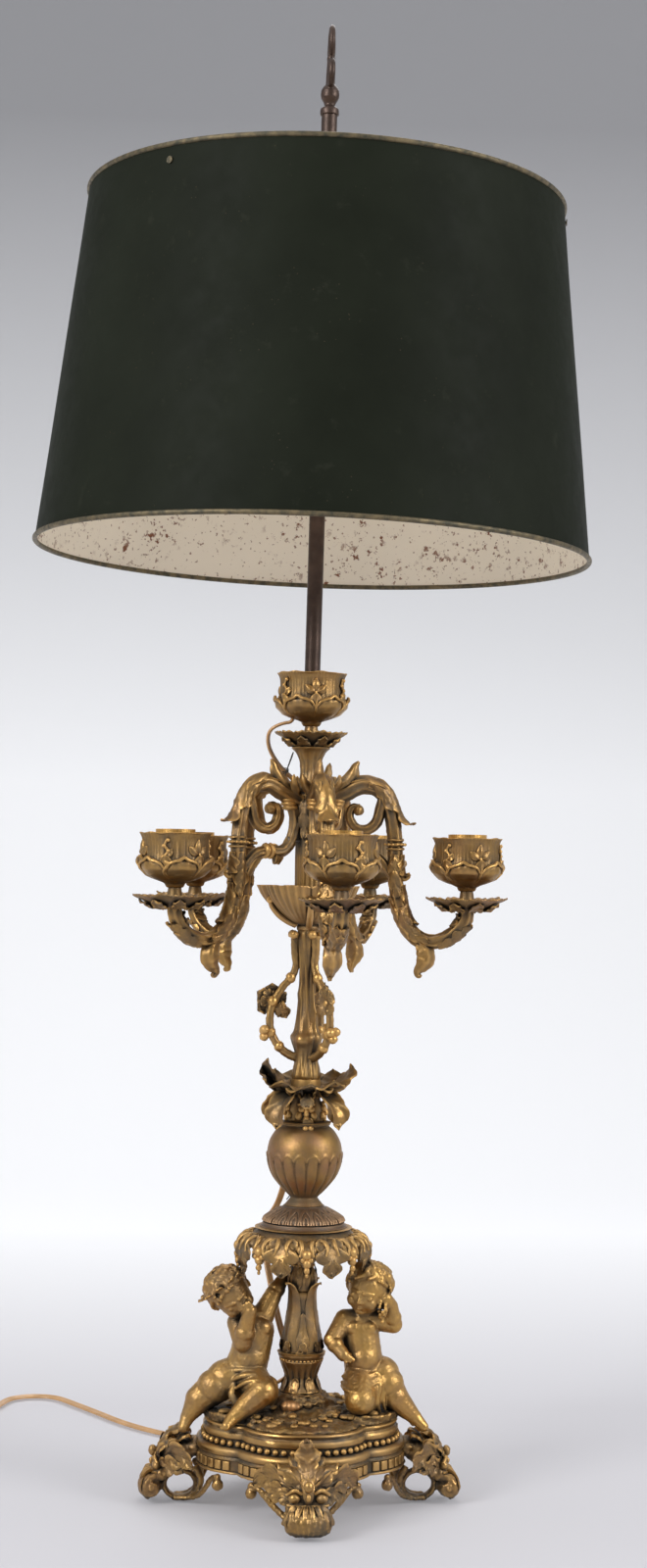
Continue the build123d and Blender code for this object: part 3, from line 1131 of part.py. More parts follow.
def make_top_cup():
    """The cup at the head of the column, with a hole for the cord."""
    cup = make_cup(TOP_CUP_LOW, TIE_BORE_R)
    x, y, top = RISER_POINTS[0]
    return cup - Pos(x, y, top) * Cylinder(CORD_HOLE_R, 2 * OVERRUN)


def make_bush():
    """The plug in the top cup that grips the lamp rod."""
    low = ROD_LOW + BUSH_RAISE
    bush = Pos(0, 0, low + BUSH_H / 2) * Cylinder(BUSH_R, BUSH_H)
    return bush - leaned(Pos(0, 0, ROD_LOW + ROD_H / 2) * Cylinder(ROD_R + FIT, ROD_H + OVERRUN))


def write(name, *shapes):
    """Write one node from its separate solids."""
    solids = [solid for shape in shapes for solid in shape.solids()]
    export_step(solids[0] if len(solids) == 1 else Compound(children=solids), f"parts/{name}.step")


def write_base():
    """Plinth, feet, ground and figures."""
    envelope = plinth_envelope()
    write("base_plinth", make_plinth(envelope))
    foot = make_foot(envelope)
    for name, angle in (("right", 0), ("back", 90), ("left", 180), ("front", 270)):
        write(f"foot_{name}", around(foot, angle))
    write("foot_screws", *[foot_screw(angle) for angle in range(0, 360, 90)])
    left = make_putto(LEFT_PUTTO_SHARES, LEFT_LIMBS, envelope)
    right = make_putto(RIGHT_PUTTO_SHARES, RIGHT_LIMBS, envelope)
    mound = make_mound((left, right))
    write("putto_left", left)
    write("putto_right", right)
    write("ground_mound", mound)
    cup = column_piece(CUP_BASE_SHARES, CUP_BASE_R, CUP_BASE_H, MOUND_TOP)
    write("column_cup", cup)
    write("flower_spray", make_spray(mound + cup))


def write_column():
    """The pieces threaded on the tie rod, from the vase up."""
    write("leaf_vase", make_vase())
    write("vase_neck", column_piece(NECK_SHARES, NECK_R, NECK_H, NECK_LOW))
    write("drip_skirt", make_skirt())
    write("canopy_cap", column_piece(CAP_SHARES, CAP_R, CAP_H, CAP_LOW, smooth=False))
    write("urn", make_urn())
    write("leaf_whorl", make_whorl())
    write("leaf_cup", make_leaf_cup())
    trunk = column_piece(TRUNK_SHARES, TRUNK_R, TRUNK_H, TRUNK_LOW)
    write("trunk_stem", trunk)
    write("vine_loops", *[make_vine(trunk, angle) for angle in VINE_ANGLES])
    write("shell_dish", make_dish())
    write("arm_hub", make_hub())
    write("hub_crown", column_piece(CROWN_SHARES, CROWN_R, CROWN_H, CROWN_LOW))
    write("tie_rod", make_tie_rod())


def write_lights():
    """Arms, drip pans, candle cups and their loose sockets."""
    arm, screw = make_arm(), make_arm_screw()
    write("arm_screws", *[around(screw, angle) for angle in ARM_ANGLES])
    pan = Pos(ARM_REACH, 0, 0) * make_pan(PAN_R, PAN_H, PAN_LOW, CUP_STUD_R + FIT)
    write("drip_pans", *[around(pan, angle) for angle in ARM_ANGLES])
    cup = Pos(ARM_REACH, 0, 0) * make_cup(CUP_LOW, CUP_STUD_R + FIT)
    insert = Pos(ARM_REACH, 0, 0) * make_insert()
    for k, angle in enumerate(ARM_ANGLES, 1):
        write(f"arm_{k}", around(arm, angle))
        write(f"candle_cup_{k}", around(cup, angle))
        write(f"candle_insert_{k}", around(insert, angle))
    write("top_drip_pan", make_pan(TOP_PAN_R, TOP_PAN_H, TOP_PAN_LOW, TIE_BORE_R))
    write("candle_cup_top", make_top_cup())


def write_lamp():
    """The leaning rod with its shade, sockets and handle."""
    write("rod_bush", make_bush())
    write("lamp_rod", leaned(tube_of_wall(ROD_BORE_R, ROD_R, ROD_LOW, ROD_LOW + ROD_H)))
    write("finial_handle", leaned(make_finial()))
    sheet = make_shade()
    write("shade_shell", leaned(hung(sheet)))
    rims = (make_rim(SHADE_BOTTOM_R, SHADE_LOW), make_rim(SHADE_TOP_R, SHADE_LOW + SHADE_H))
    write("shade_rims", *[leaned(hung(rim)) for rim in rims])
    write("shade_spider", leaned(make_spider()))
    write("spider_rivets", *[leaned(hung(make_rivet(angle))) for angle in SPIDER_ANGLES])
    write("clamp_collar", leaned(make_clamp()))
    write("thumb_screw", leaned(make_thumb_screw()))
    write("socket_cluster", leaned(make_cluster()))
    write("sockets", *[leaned(make_socket(side)) for side in (1, -1)])
    write("bulbs", *[leaned(make_bulb(side)) for side in (1, -1)])
    write("switch_knob_1", leaned(make_knob(1)))
    write("switch_knob_2", leaned(make_knob(-1)))


def write_cord():
    """The cord, its coil and its plug."""
    write("cord_lead", make_lead())
    write("cord_coil", make_coil())
    write("plug", make_plug())


write_base()
write_column()
write_lights()
write_lamp()
write_cord()
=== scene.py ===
"""Looks of a gilt candelabra fitted as a table lamp, built round its packed model.

Shapes are worked in millimetres and written in metres. +Z is up and -Y faces the viewer.
"""

import json
import random
from math import atan2, cos, exp, hypot, pi, radians, sin, tau

import bmesh
import bpy
from bpy.props import FloatProperty, FloatVectorProperty, PointerProperty
from mathutils import Matrix, Vector, noise
from mathutils.bvhtree import BVHTree

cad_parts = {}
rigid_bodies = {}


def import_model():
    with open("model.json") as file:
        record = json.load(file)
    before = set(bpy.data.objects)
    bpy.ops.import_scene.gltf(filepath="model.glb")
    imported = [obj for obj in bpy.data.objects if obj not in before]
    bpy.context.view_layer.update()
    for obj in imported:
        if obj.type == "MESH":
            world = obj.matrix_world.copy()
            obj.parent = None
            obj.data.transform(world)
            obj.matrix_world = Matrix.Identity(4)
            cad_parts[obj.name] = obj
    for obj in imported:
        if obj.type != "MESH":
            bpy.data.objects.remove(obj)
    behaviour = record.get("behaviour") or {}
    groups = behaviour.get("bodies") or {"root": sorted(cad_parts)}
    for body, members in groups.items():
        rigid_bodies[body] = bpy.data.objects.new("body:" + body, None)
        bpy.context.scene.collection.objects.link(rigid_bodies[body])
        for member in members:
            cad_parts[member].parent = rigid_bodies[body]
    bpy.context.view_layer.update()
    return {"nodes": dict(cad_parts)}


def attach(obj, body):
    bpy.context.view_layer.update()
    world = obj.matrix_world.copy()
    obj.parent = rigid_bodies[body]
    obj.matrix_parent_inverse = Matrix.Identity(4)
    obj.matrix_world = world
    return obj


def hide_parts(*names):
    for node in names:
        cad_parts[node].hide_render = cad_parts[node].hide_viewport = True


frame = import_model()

bl_info = {
    "name": "Candelabra lamp",
    "version": (1, 0, 0),
    "blender": (4, 5, 0),
    "location": "View3D > Sidebar > Lamp",
    "description": "Builds a gilt figural candelabra fitted as a table lamp",
    "category": "Object",
}

MM = 0.001
X, Y, Z = Vector((1, 0, 0)), Vector((0, 1, 0)), Vector((0, 0, 1))
STATIC = "candelabra"

# Places on the object, in millimetres
ARM_ANGLES = (-6.9, -82.1, -148.3, 135.3, 62.3)
VINE_ANGLES = (-175.4, -55.4, 64.6)
FOOT_ANGLES = {"right": 0, "back": 90, "left": 180, "front": 270}
ARM_REACH, ARM_Z = 112.6, 502.84
PAN_LOW, BOWL_LOW, TOP_PAN_LOW, TOP_BOWL_LOW = 423.34, 440.3, 538.96, 556.28
PLINTH_TOP, PLINTH_R = 61.5, 67.0  # top face, and the outline's radius before it is lobed
LOBE_ENDS, LOBE_BULGE = (74.0, 66.0), 9.4  # radii of the creases by turns, and how far a lobe swells
MOUND_R = 71.5  # radius of the CAD ground before it follows the lobes
BORE_R = 3.1  # hole through the column for the tie rod
CUP_R, DISH_R, DISH_TOP = 25.4, 37.5, 438.9  # widest places, and the dish's highest edge
LEAN, LEAN_PIVOT = radians(0.85), 575.0
SHADE_TILT, SHADE_PIVOT = radians(0.7), 914.0
SHADE_LOW, SHADE_HIGH, SHEET_THICKNESS = 676.2, 924.8, 0.6
ARM_SHARES = (
    (0.090, -0.030), (0.150, -0.010), (0.225, 0.020), (0.314, 0.066), (0.382, 0.066), (0.446, 0.036),
    (0.496, -0.040), (0.527, -0.151), (0.544, -0.302), (0.545, -0.440), (0.555, -0.570), (0.580, -0.690),
    (0.622, -0.800), (0.690, -0.880), (0.784, -0.912), (0.880, -0.885), (0.950, -0.830), (0.992, -0.765),
    (1.000, -0.706),
)
VOLUTE_SHARES = (
    (0.470, 0.025), (0.450, -0.075), (0.418, -0.170), (0.350, -0.212), (0.285, -0.190), (0.252, -0.128),
    (0.268, -0.070), (0.318, -0.066),
)
STRUT_SHARES = (
    (0.165, -0.040), (0.126, -0.105), (0.122, -0.190), (0.150, -0.285), (0.215, -0.350), (0.320, -0.352),
    (0.420, -0.375), (0.500, -0.460), (0.545, -0.540),
)
VINE_POINTS = (
    (9.0, 403), (9.2, 392), (8.2, 382), (11.5, 373.5), (17.5, 366.5), (23.8, 356), (26.5, 345.5),
    (25.4, 334), (20.2, 324.5), (13.0, 318.5), (5.5, 316),
)
RISER_POINTS = (
    (-12.0, 0.0, 565.0), (-12.0, 0.5, 555.6), (-20.5, 2.5, 554.8), (-30.0, 5.0, 550.0), (-30.8, 7.0, 539.5),
    (-25.5, 9.8, 529.0), (-18.5, 12.5, 520.8), (-10.5, 15.0, 514.5), (-4.0, 18.5, 505.5),
    (-2.5, 20.0, 492.0), (-2.0, 22.0, 472.0), (0.5, 32.0, 456.0), (2.5, 43.0, 443.0), (3.0, 46.0, 425.0),
    (2.6, 45.0, 390.0), (2.4, 43.0, 350.0), (1.5, 42.5, 312.0), (-1.5, 40.0, 283.0), (-6.0, 36.5, 258.0),
    (-10.0, 33.0, 236.0), (-13.0, 32.0, 219.0), (-17.0, 39.5, 205.0), (-22.5, 51.0, 195.5),
    (-25.5, 53.5, 181.0), (-24.0, 49.0, 164.0), (-21.0, 39.5, 149.0), (-17.7, 30.5, 133.0),
    (-13.0, 26.0, 114.5), (-6.5, 26.5, 99.0), (-5.0, 31.5, 85.5), (-11.0, 38.5, 77.5), (-22.5, 44.5, 71.5),
    (-35.0, 53.0, 68.5), (-44.5, 65.0, 59.0), (-51.0, 78.0, 43.0), (-57.0, 93.0, 26.0),
    (-63.0, 111.0, 12.0), (-68.0, 132.0, 4.4),
)
FLOOR_POINTS = (
    (-75.0, 158.0), (-88.0, 184.0), (-109.0, 203.0), (-131.0, 231.0), (-150.0, 264.0), (-172.6, 301.0),
    (-184.6, 319.6), (-194.8, 325.9), (-206.7, 327.2), (-218.0, 323.2), (-226.5, 314.8), (-232.5, 293.5),
    (-241.0, 263.0), (-250.6, 240.0), (-250.6, 223.3),
)
CORD_Z = 2.8  # middle of the cord where it lies on the floor
COIL_CENTRE, COIL_OUTER_R, COIL_PITCH, COIL_HALVES = (-292.6, 217.7), 42.0, 6.4, 14
COIL_STEPS = 8  # control points in half a turn
TAIL_RUN, TAIL_SIDE, PLUG_AXIS_Z = 30.0, 2.8, 6.0

# Turned outlines: radius and height above the piece's foot
PLINTH_OUTLINE = (
    (0, 61.5), (58, 61.5), (61.0, 61.4), (61.4, 60.6), (60.0, 58.2), (60.4, 57.4), (61.8, 56.4),
    (62.0, 53.4), (61.2, 52.4), (60.2, 52.0), (60.0, 48.4), (60.6, 47.2), (64.6, 46.8), (66.4, 45.6),
    (67.0, 43.8), (66.4, 41.6), (64.8, 40.6), (65.2, 39.2), (66.0, 38.6), (65.4, 38.0), (65.4, 31.2),
    (66.6, 30.8), (67.0, 30.0), (66.4, 29.0), (56.0, 29.0), (56.0, 56.5), (0, 56.5),
)
FLUTED_CUP_OUTLINE = (
    (BORE_R, 79), (14.2, 79), (14.3, 80.4), (12.6, 84), (11.4, 87), (11.7, 89.6), (13.6, 95), (15.2, 99.4),
    (15.6, 100.6), (14.9, 101.4), (15.3, 102.4), (16.6, 104.2), (16.8, 105.6), (16.2, 107), (BORE_R, 107),
)
VASE_OUTLINE = (
    (BORE_R, 107), (12.9, 107), (13.8, 108.4), (13.8, 111), (13.2, 118), (11.8, 126), (10.3, 134),
    (9.6, 141), (9.3, 149), (BORE_R, 149.8),
)
NECK_OUTLINE = (
    (BORE_R, 150), (7.9, 150), (9.1, 154), (10.3, 159), (9.0, 163.6), (7.9, 166.4), (8.0, 169.6),
    (8.7, 172.4), (9.1, 176), (7.9, 180.4), (7.5, 184.4), (8.8, 189), (BORE_R, 189),
)
SKIRT_OUTLINE = (
    (BORE_R, 189.05), (14, 189.6), (30, 188.2), (37.6, 186.4), (39.0, 186.8), (39.2, 188.0), (38.0, 189.6),
    (36.4, 190.8), (34.4, 192.6), (32.9, 194.4), (32.6, 195.9), (BORE_R, 195.95),
)
CAP_OUTLINE = (
    (BORE_R, 195.96), (29.1, 195.96), (29.5, 197.2), (29.2, 198.8), (28.2, 199.4), (28.6, 200.2),
    (27.6, 202.6), (24.2, 205.0), (18.8, 208.0), (14.4, 210.4), (13.8, 210.96), (BORE_R, 210.96),
)
URN_OUTLINE = (
    (BORE_R, 210.96), (12.9, 210.96), (12.6, 212.6), (10.4, 215.4), (10.2, 217.2), (14.9, 221.8),
    (22.4, 230.8), (26.2, 239.8), (26.9, 247.6), (25.3, 256.6), (21.2, 263.8), (17.2, 267.4), (17.9, 268.4),
    (18.2, 269.4), (17.6, 270.6), (BORE_R, 270.96),
)
TRUNK_OUTLINE = (
    (BORE_R, 300.96), (9.6, 300.96), (9.3, 307.3), (8.1, 313.7), (7.9, 319), (9.4, 324.3), (11.2, 330.6),
    (8.7, 334.9), (7.8, 339.1), (6.8, 351.8), (5.8, 372), (6.0, 385.8), (7.4, 397.4), (7.5, 406.9),
    (BORE_R, 406.96),
)
HUB_OUTLINE = (
    (BORE_R, 415.96), (10.0, 416.2), (10.1, 440), (10.1, 498.4), (11.9, 502.6), (12.3, 505.4),
    (11.6, 508.4), (8.6, 511.9), (BORE_R, 511.96),
)
CROWN_OUTLINE = (
    (BORE_R, 511.96), (8.6, 512), (7.6, 517.4), (7.5, 522.2), (8.3, 528.2), (10.6, 533.6), (13.4, 536.4),
    (13.6, 537.4), (10.4, 538.9), (BORE_R, 538.96),
)
PAN_OUTLINE = (
    (0.12, 0.40), (0.36, 0.38), (0.48, 0.40), (0.68, 0.62), (0.90, 0.88), (0.98, 0.98), (1.00, 0.90),
    (0.97, 0.82), (0.70, 0.42), (0.50, 0.12), (0.38, 0.00), (0.12, 0.00),
)
BOWL_OUTLINE = (
    (2.6, -13.9), (6.2, -13.9), (5.4, -9.7), (4.6, -4.0), (4.6, 0), (10.1, 1.2), (18.2, 4.5), (22.6, 9.2),
    (23.4, 13.1), (22.9, 16.6), (22.5, 20), (22.5, 25.6), (22.9, 30.4), (24.7, 34.2), (24.4, 34.6),
    (23.2, 34.4), (21.4, 28.8), (21.4, 13.2), (19.2, 4.5), (2.6, 4.5),
)

# Leaves lapped on an arm: place along it, faces in degrees (0 is outward), width, lobes,
# spine (along, off the stem)
ARM_LEAVES = (
    (0.115, (0,), 18.0, 3, ((0, 0.2), (12, 1.0), (26, 1.1), (36, 1.4), (43, 3.6), (48, 7.4), (47, 10.6))),
    (0.170, (78, -78), 11.0, 2, ((0, 0.3), (9, 0.9), (19, 0.9), (26, 2.2))),
    (0.450, (0,), 15.0, 2, ((0, 0.4), (6, 1.0), (12, 1.8), (16, 3.4), (15, 5.6))),
    (0.450, (95, -95), 13.0, 3, ((0, 0.3), (10, 0.8), (22, 0.8), (32, 1.4))),
    (0.560, (0,), 15.0, 3, ((0, 0.3), (10, 0.8), (22, 0.9), (34, 1.6))),
    (0.600, (180,), 15.0, 3, ((0, 0.3), (12, 0.9), (26, 0.9), (40, 1.6))),
    (0.640, (90, -90), 12.0, 3, ((0, 0.3), (10, 0.8), (24, 0.8), (34, 1.6))),
    (0.835, (150, -150), 14.0, 3, ((0, 0.3), (8, 0.9), (18, 0.9), (25, 1.8))),
    (0.905, (0,), 12.0, 2, ((0, 0.3), (6, 0.8), (12, 0.9), (16, 1.6))),
)

# Children: named places and radii
RIGHT_CHILD = {
    "head": (46.2, -8.8, 152.8, 15.7), "neck": (43.8, -3.5, 137.5, 7.0),
    "chest": (41.2, -2.5, 121.5, 13.6), "belly": (43.6, -4.5, 103.5, 13.9),
    "left_shoulder": (30.6, -4.0, 129.6, 7.8), "left_elbow": (20.6, -13.0, 117.0, 5.9),
    "left_hand": (28.5, -20.0, 107.6, 4.6), "left_finger": (35.5, -21.5, 104.6, 1.4),
    "right_shoulder": (52.0, -2.5, 129.8, 8.1), "right_elbow": (65.0, -5.0, 126.8, 6.6),
    "right_wrist": (62.4, -10.5, 141.0, 5.2), "right_hand": (58.6, -14.5, 146.6, 4.8),
    "grapes": (55.8, -18.0, 139.0, 3.4),
    "hips": (46.5, -3.0, 89.5, 15.2), "hip_out": (57.0, -5.0, 91.0, 13.2),
    "knee_out": (66.0, -10.0, 76.0, 10.3), "ankle_out": (80.8, -10.0, 61.6, 5.2),
    "toes_out": (87.0, -13.0, 55.5, 3.6),
    "hip_in": (41.5, -10.0, 88.5, 12.6), "knee_in": (40.6, -27.0, 76.8, 11.0),
    "shin_in": (46.0, 2.0, 67.5, 6.7),
}
LEFT_CHILD = {
    "head": (-51.6, -9.8, 149.4, 15.7), "neck": (-41.5, -5.0, 134.0, 7.0),
    "chest": (-33.6, -3.0, 121.5, 13.9), "belly": (-37.0, -4.0, 104.5, 14.3),
    "left_shoulder": (-45.6, -6.0, 127.6, 8.1), "left_elbow": (-42.8, -17.0, 115.6, 6.9),
    "left_hand": (-38.0, -22.0, 139.0, 4.9), "left_finger": (-40.0, -23.6, 144.0, 2.4),
    "right_shoulder": (-28.0, -1.5, 132.0, 8.3), "right_elbow": (-20.5, 3.0, 146.5, 6.3),
    "right_wrist": (-14.0, 8.0, 156.0, 4.6), "right_hand": (-12.2, 9.5, 159.6, 4.1),
    "hips": (-41.5, -3.0, 89.5, 15.6), "hip_out": (-54.0, -5.0, 87.5, 13.9),
    "knee_out": (-72.5, -7.0, 73.5, 10.1), "ankle_out": (-80.6, -8.5, 61.0, 5.3),
    "toes_out": (-83.5, -12.5, 54.5, 3.8),
    "hip_in": (-36.5, -9.0, 89.0, 13.2), "knee_in": (-28.2, -26.5, 83.0, 10.0),
    "shin_in": (-40.5, -32.5, 73.4, 7.7),
    "foot_in": (-50.0, -38.5, 66.4, 4.8), "toes_in": (-54.0, -43.0, 62.6, 3.4),
}
CHILD_LIMBS = (
    ("hips", "belly"), ("belly", "chest"), ("chest", "neck"), ("neck", "head"),
    ("left_shoulder", "right_shoulder"), ("left_shoulder", "left_elbow"), ("left_elbow", "left_hand"),
    ("left_hand", "left_finger"), ("right_shoulder", "right_elbow"), ("right_elbow", "right_wrist"),
    ("right_wrist", "right_hand"), ("hips", "hip_out"), ("hip_out", "knee_out"), ("knee_out", "ankle_out"),
    ("ankle_out", "toes_out"), ("hips", "hip_in"), ("hip_in", "knee_in"), ("knee_in", "shin_in"),
    ("shin_in", "foot_in"), ("foot_in", "toes_in"),
)
# A plain child's head of radius 1 that faces -Y: balls (place, radius, stretch) and limbs.
# What lies off the middle is mirrored.
HEAD_BALLS = (
    ((0, 0.08, 0.12), 1.00, (0.92, 1.02, 0.95)), ((0, -0.22, -0.22), 0.86, (0.92, 0.95, 1.05)),
    ((0.38, -0.66, -0.38), 0.33, (1, 0.9, 1)), ((0, -0.72, -0.80), 0.21, (1.25, 0.9, 0.9)),
    ((0, -0.42, -0.66), 0.44, (1.15, 1, 0.9)), ((0.35, -0.86, -0.07), 0.14, (1.3, 0.7, 0.85)),
    ((0.11, -1.00, -0.31), 0.085, (1, 1, 0.8)), ((0.90, 0.05, -0.15), 0.23, (0.4, 0.75, 1.1)),
    ((0, -1.04, -0.28), 0.13, (1, 1, 0.9)),
)
HEAD_LIMBS = (
    ((0.14, -0.92, 0.14), 0.11, (0.52, -0.74, 0.11), 0.08), ((0, -0.90, 0.06), 0.08, (0, -1.05, -0.24), 0.11),
    ((0, -0.99, -0.48), 0.07, (0.20, -0.91, -0.49), 0.04),
    ((0, -0.97, -0.61), 0.085, (0.14, -0.91, -0.59), 0.05),
    ((0.20, -0.94, -0.01), 0.045, (0.50, -0.79, -0.03), 0.045),
)


# Lines and sections


def flowing(points, per=6):
    """Places on a smooth line through the given points."""
    marks = [Vector(point) for point in points]
    marks = [marks[0] * 2 - marks[1], *marks, marks[-1] * 2 - marks[-2]]
    line = []
    for a, b, c, d in zip(marks, marks[1:], marks[2:], marks[3:]):
        for k in range(per):
            t = k / per
            square, cube = (a * 2 - b * 5 + c * 4 - d) * t * t, (b * 3 - a - c * 3 + d) * t**3
            line.append(((b * 2) + (c - a) * t + square + cube) * 0.5)
    line.append(marks[-2])
    return line


def even(line, count):
    """The line again as count equal steps."""
    lengths = [0.0]
    for a, b in zip(line, line[1:]):
        lengths.append(lengths[-1] + (b - a).length)
    made, k = [], 0
    for step in range(count + 1):
        want = lengths[-1] * step / count
        while k < len(line) - 2 and lengths[k + 1] < want:
            k += 1
        span = lengths[k + 1] - lengths[k] or 1.0
        made.append(line[k].lerp(line[k + 1], min(1.0, (want - lengths[k]) / span)))
    return made


def graded(stops, t):
    """A value read between (share, value) stops."""
    for (t0, a), (t1, b) in zip(stops, stops[1:]):
        if t <= t1:
            return a + (b - a) * max(0.0, t - t0) / (t1 - t0)
    return stops[-1][1]


def section(count, depth=0.0, ridges=0):
    """A round section with ridges along it."""
    made = []
    for k in range(count):
        angle = tau * k / count
        r = 1 - depth * (0.5 - 0.5 * cos(ridges * angle))
        made.append((r * cos(angle), r * sin(angle)))
    return made


def once_round(count):
    """Angles once round, with both ends."""
    return [tau * k / count for k in range(count + 1)]


ROUND = section(12)
GROOVED = section(30, 0.2, 6)
LEAFY = section(20, 0.22, 5)


def arm_point(out, up, aside=0.0):
    """A place in the upright plane of an arm that points along +X."""
    return Vector((out * ARM_REACH, aside, ARM_Z + up * ARM_REACH))


def arm_line(shares, per):
    """A smooth line through places in the arm's plane."""
    return flowing([arm_point(*share) for share in shares], per)


def tilted(place, angle, pivot):
    """A place turned towards +X about a height on the axis."""
    x, y, z = place
    rise = z - pivot
    return Vector((x * cos(angle) + rise * sin(angle), y, pivot - x * sin(angle) + rise * cos(angle)))


def leaned(x, y, z):
    """A place on the leaning lamp fittings."""
    return tilted((x, y, z), LEAN, LEAN_PIVOT)


def hung(x, y, z):
    """A place on the shade, which hangs a little askew on the leaning rod."""
    return tilted(tilted((x, y, z), SHADE_TILT, SHADE_PIVOT), LEAN, LEAN_PIVOT)


# Shapes, each added to a bmesh in millimetres


def spun(outline, steps=64):
    """A body turned about Z."""
    bm = bmesh.new()
    verts = [bm.verts.new((r, 0, z)) for r, z in outline]
    edges = [bm.edges.new(pair) for pair in zip(verts, verts[1:])]
    if outline[0][0] > 0.01:
        edges.append(bm.edges.new((verts[-1], verts[0])))
    bmesh.ops.spin(bm, geom=verts + edges, cent=(0, 0, 0), axis=(0, 0, 1), angle=tau, steps=steps,
                   use_merge=True)
    bmesh.ops.remove_doubles(bm, verts=bm.verts, dist=0.003)
    return bm


def softened(outline, per=3):
    """An outline rounded through its own points."""
    return [(p.x, p.y) for p in flowing(outline, per)]


def reshaped(bm, rule):
    """Move each point of a turned body by a rule of its angle, radius and height."""
    for v in bm.verts:
        r = hypot(v.co.x, v.co.y)
        if r > 0.05:
            angle = atan2(v.co.y, v.co.x)
            new_r, new_z = rule(angle, r, v.co.z)
            v.co = (new_r * cos(angle), new_r * sin(angle), new_z)
    return bm


def ball(bm, centre, radius, stretch=(1, 1, 1), turn=None, level=2):
    """A round or stretched ball."""
    size = Matrix.Diagonal((*[radius * s for s in stretch], 1))
    place = Matrix.Translation(centre) @ (turn or Matrix()) @ size
    bmesh.ops.create_icosphere(bm, subdivisions=level, radius=1, matrix=place)


def limb(bm, start, start_r, end, end_r, level=2):
    """A tapered rod with round ends."""
    start, end = Vector(start), Vector(end)
    along = end - start
    place = Matrix.Translation((start + end) / 2) @ Z.rotation_difference(along).to_matrix().to_4x4()
    bmesh.ops.create_cone(
        bm, cap_ends=True, segments=16, radius1=start_r, radius2=end_r, depth=along.length, matrix=place
    )
    ball(bm, start, start_r, level=level)
    ball(bm, end, end_r, level=level)


def swept(bm, path, radii, outline=ROUND, up=Z, roll=None, flat=1.0):
    """A section drawn along a path by extruding it, thicker and thinner by its radii."""
    ring = bmesh.ops.create_circle(bm, cap_ends=True, segments=len(outline), radius=1)["verts"]
    for v, (x, y) in zip(ring, outline):
        v.co = (x, y, 0)
    edges = list({edge for v in ring for edge in v.link_edges})
    last, side, old = None, None, None
    for k, point in enumerate(path):
        ahead = (path[min(k + 1, len(path) - 1)] - path[max(k - 1, 0)]).normalized()
        side = ahead.cross(up).normalized() if side is None else old.rotation_difference(ahead) @ side
        old = ahead
        share = k / (len(path) - 1)
        size = graded(radii, share)
        turn = Matrix((side, ahead.cross(side), ahead)).transposed().to_4x4()
        if roll:
            turn = turn @ Matrix.Rotation(radians(graded(roll, share)), 4, "Z")
        place = Matrix.Translation(point) @ turn @ Matrix.Diagonal((size, size * flat, size, 1))
        if last is None:
            bmesh.ops.transform(bm, matrix=place, verts=ring)
        else:
            made = bmesh.ops.extrude_edge_only(bm, edges=edges)["geom"]
            ring = [v for v in made if isinstance(v, bmesh.types.BMVert)]
            edges = [edge for edge in made if isinstance(edge, bmesh.types.BMEdge) and edge.is_boundary]
            bmesh.ops.transform(bm, matrix=place @ last.inverted(), verts=ring)
        last = place
    bmesh.ops.edgeloop_fill(bm, edges=edges)


def leaf(
    bm, spine, width, side, lobes=0, notch=0.38, cup=0.14, vein=0.05, thick=1.1, root=0.45, fullness=0.8
):
    """A leaf along a spine, its lobed edge and raised veins worked from a flat grid."""
    rows, columns = 8 + 11 * max(lobes, 1), 10
    line = even(flowing(spine, 8), rows)
    made = bmesh.ops.create_grid(bm, x_segments=columns, y_segments=rows, size=1)["verts"]
    faces = list({face for v in made for face in v.link_faces})
    for v in made:
        s, u = v.co.x, (v.co.y + 1) / 2
        reach = min(rows, max(0.0, (u + 0.09 * s * s * sin(pi * u)) * rows))
        k = min(int(reach), rows - 1)
        along = (line[k + 1] - line[k]).normalized()
        across = (side - along * side.dot(along)).normalized()
        half = max(root * (1 - u) ** 2, max(0.0, sin(pi * u**fullness)) ** 0.8) * width / 2
        lift = cup * half * s * s + vein * width * exp(-((s / 0.16) ** 2)) * (1 - u)
        if lobes:
            half *= 1 - notch * (1 - abs(sin(pi * lobes * u)))
            lift -= 0.045 * width * cos(tau * lobes * (u - 0.12 * abs(s))) * abs(s)
            lift += 0.020 * width * cos(tau * 2 * lobes * (u - 0.30 * abs(s))) * min(1.0, 2.5 * abs(s))
        v.co = line[k].lerp(line[k + 1], reach - k) + across * s * half + across.cross(along) * lift
    bmesh.ops.solidify(bm, geom=faces, thickness=thick)


def added(bm, part, places):
    """Copies of a part at several places."""
    mesh = bpy.data.meshes.new("part")
    part.to_mesh(mesh)
    part.free()
    for place in places:
        mesh.transform(place)
        bm.from_mesh(mesh)
        mesh.transform(place.inverted())
    bpy.data.meshes.remove(mesh)
    return bm


def turns(count, start=0.0):
    """Places that repeat a part about the column."""
    return [Matrix.Rotation(radians(start) + tau * k / count, 4, "Z") for k in range(count)]


def leaves(bm, places, *shape, **options):
    """A leaf made once and set at several places."""
    blade = bmesh.new()
    leaf(blade, *shape, **options)
    return added(bm, blade, places)


def wrapped(bm, angle, height, radius_at):
    """Bend a flat relief (X across, Y up, Z out) round a turned body."""
    for v in bm.verts:
        x, y, z = v.co
        r = radius_at(height + y)
        turn = radians(angle) + x / r
        v.co = ((r + z) * cos(turn), (r + z) * sin(turn), height + y)
    return bm


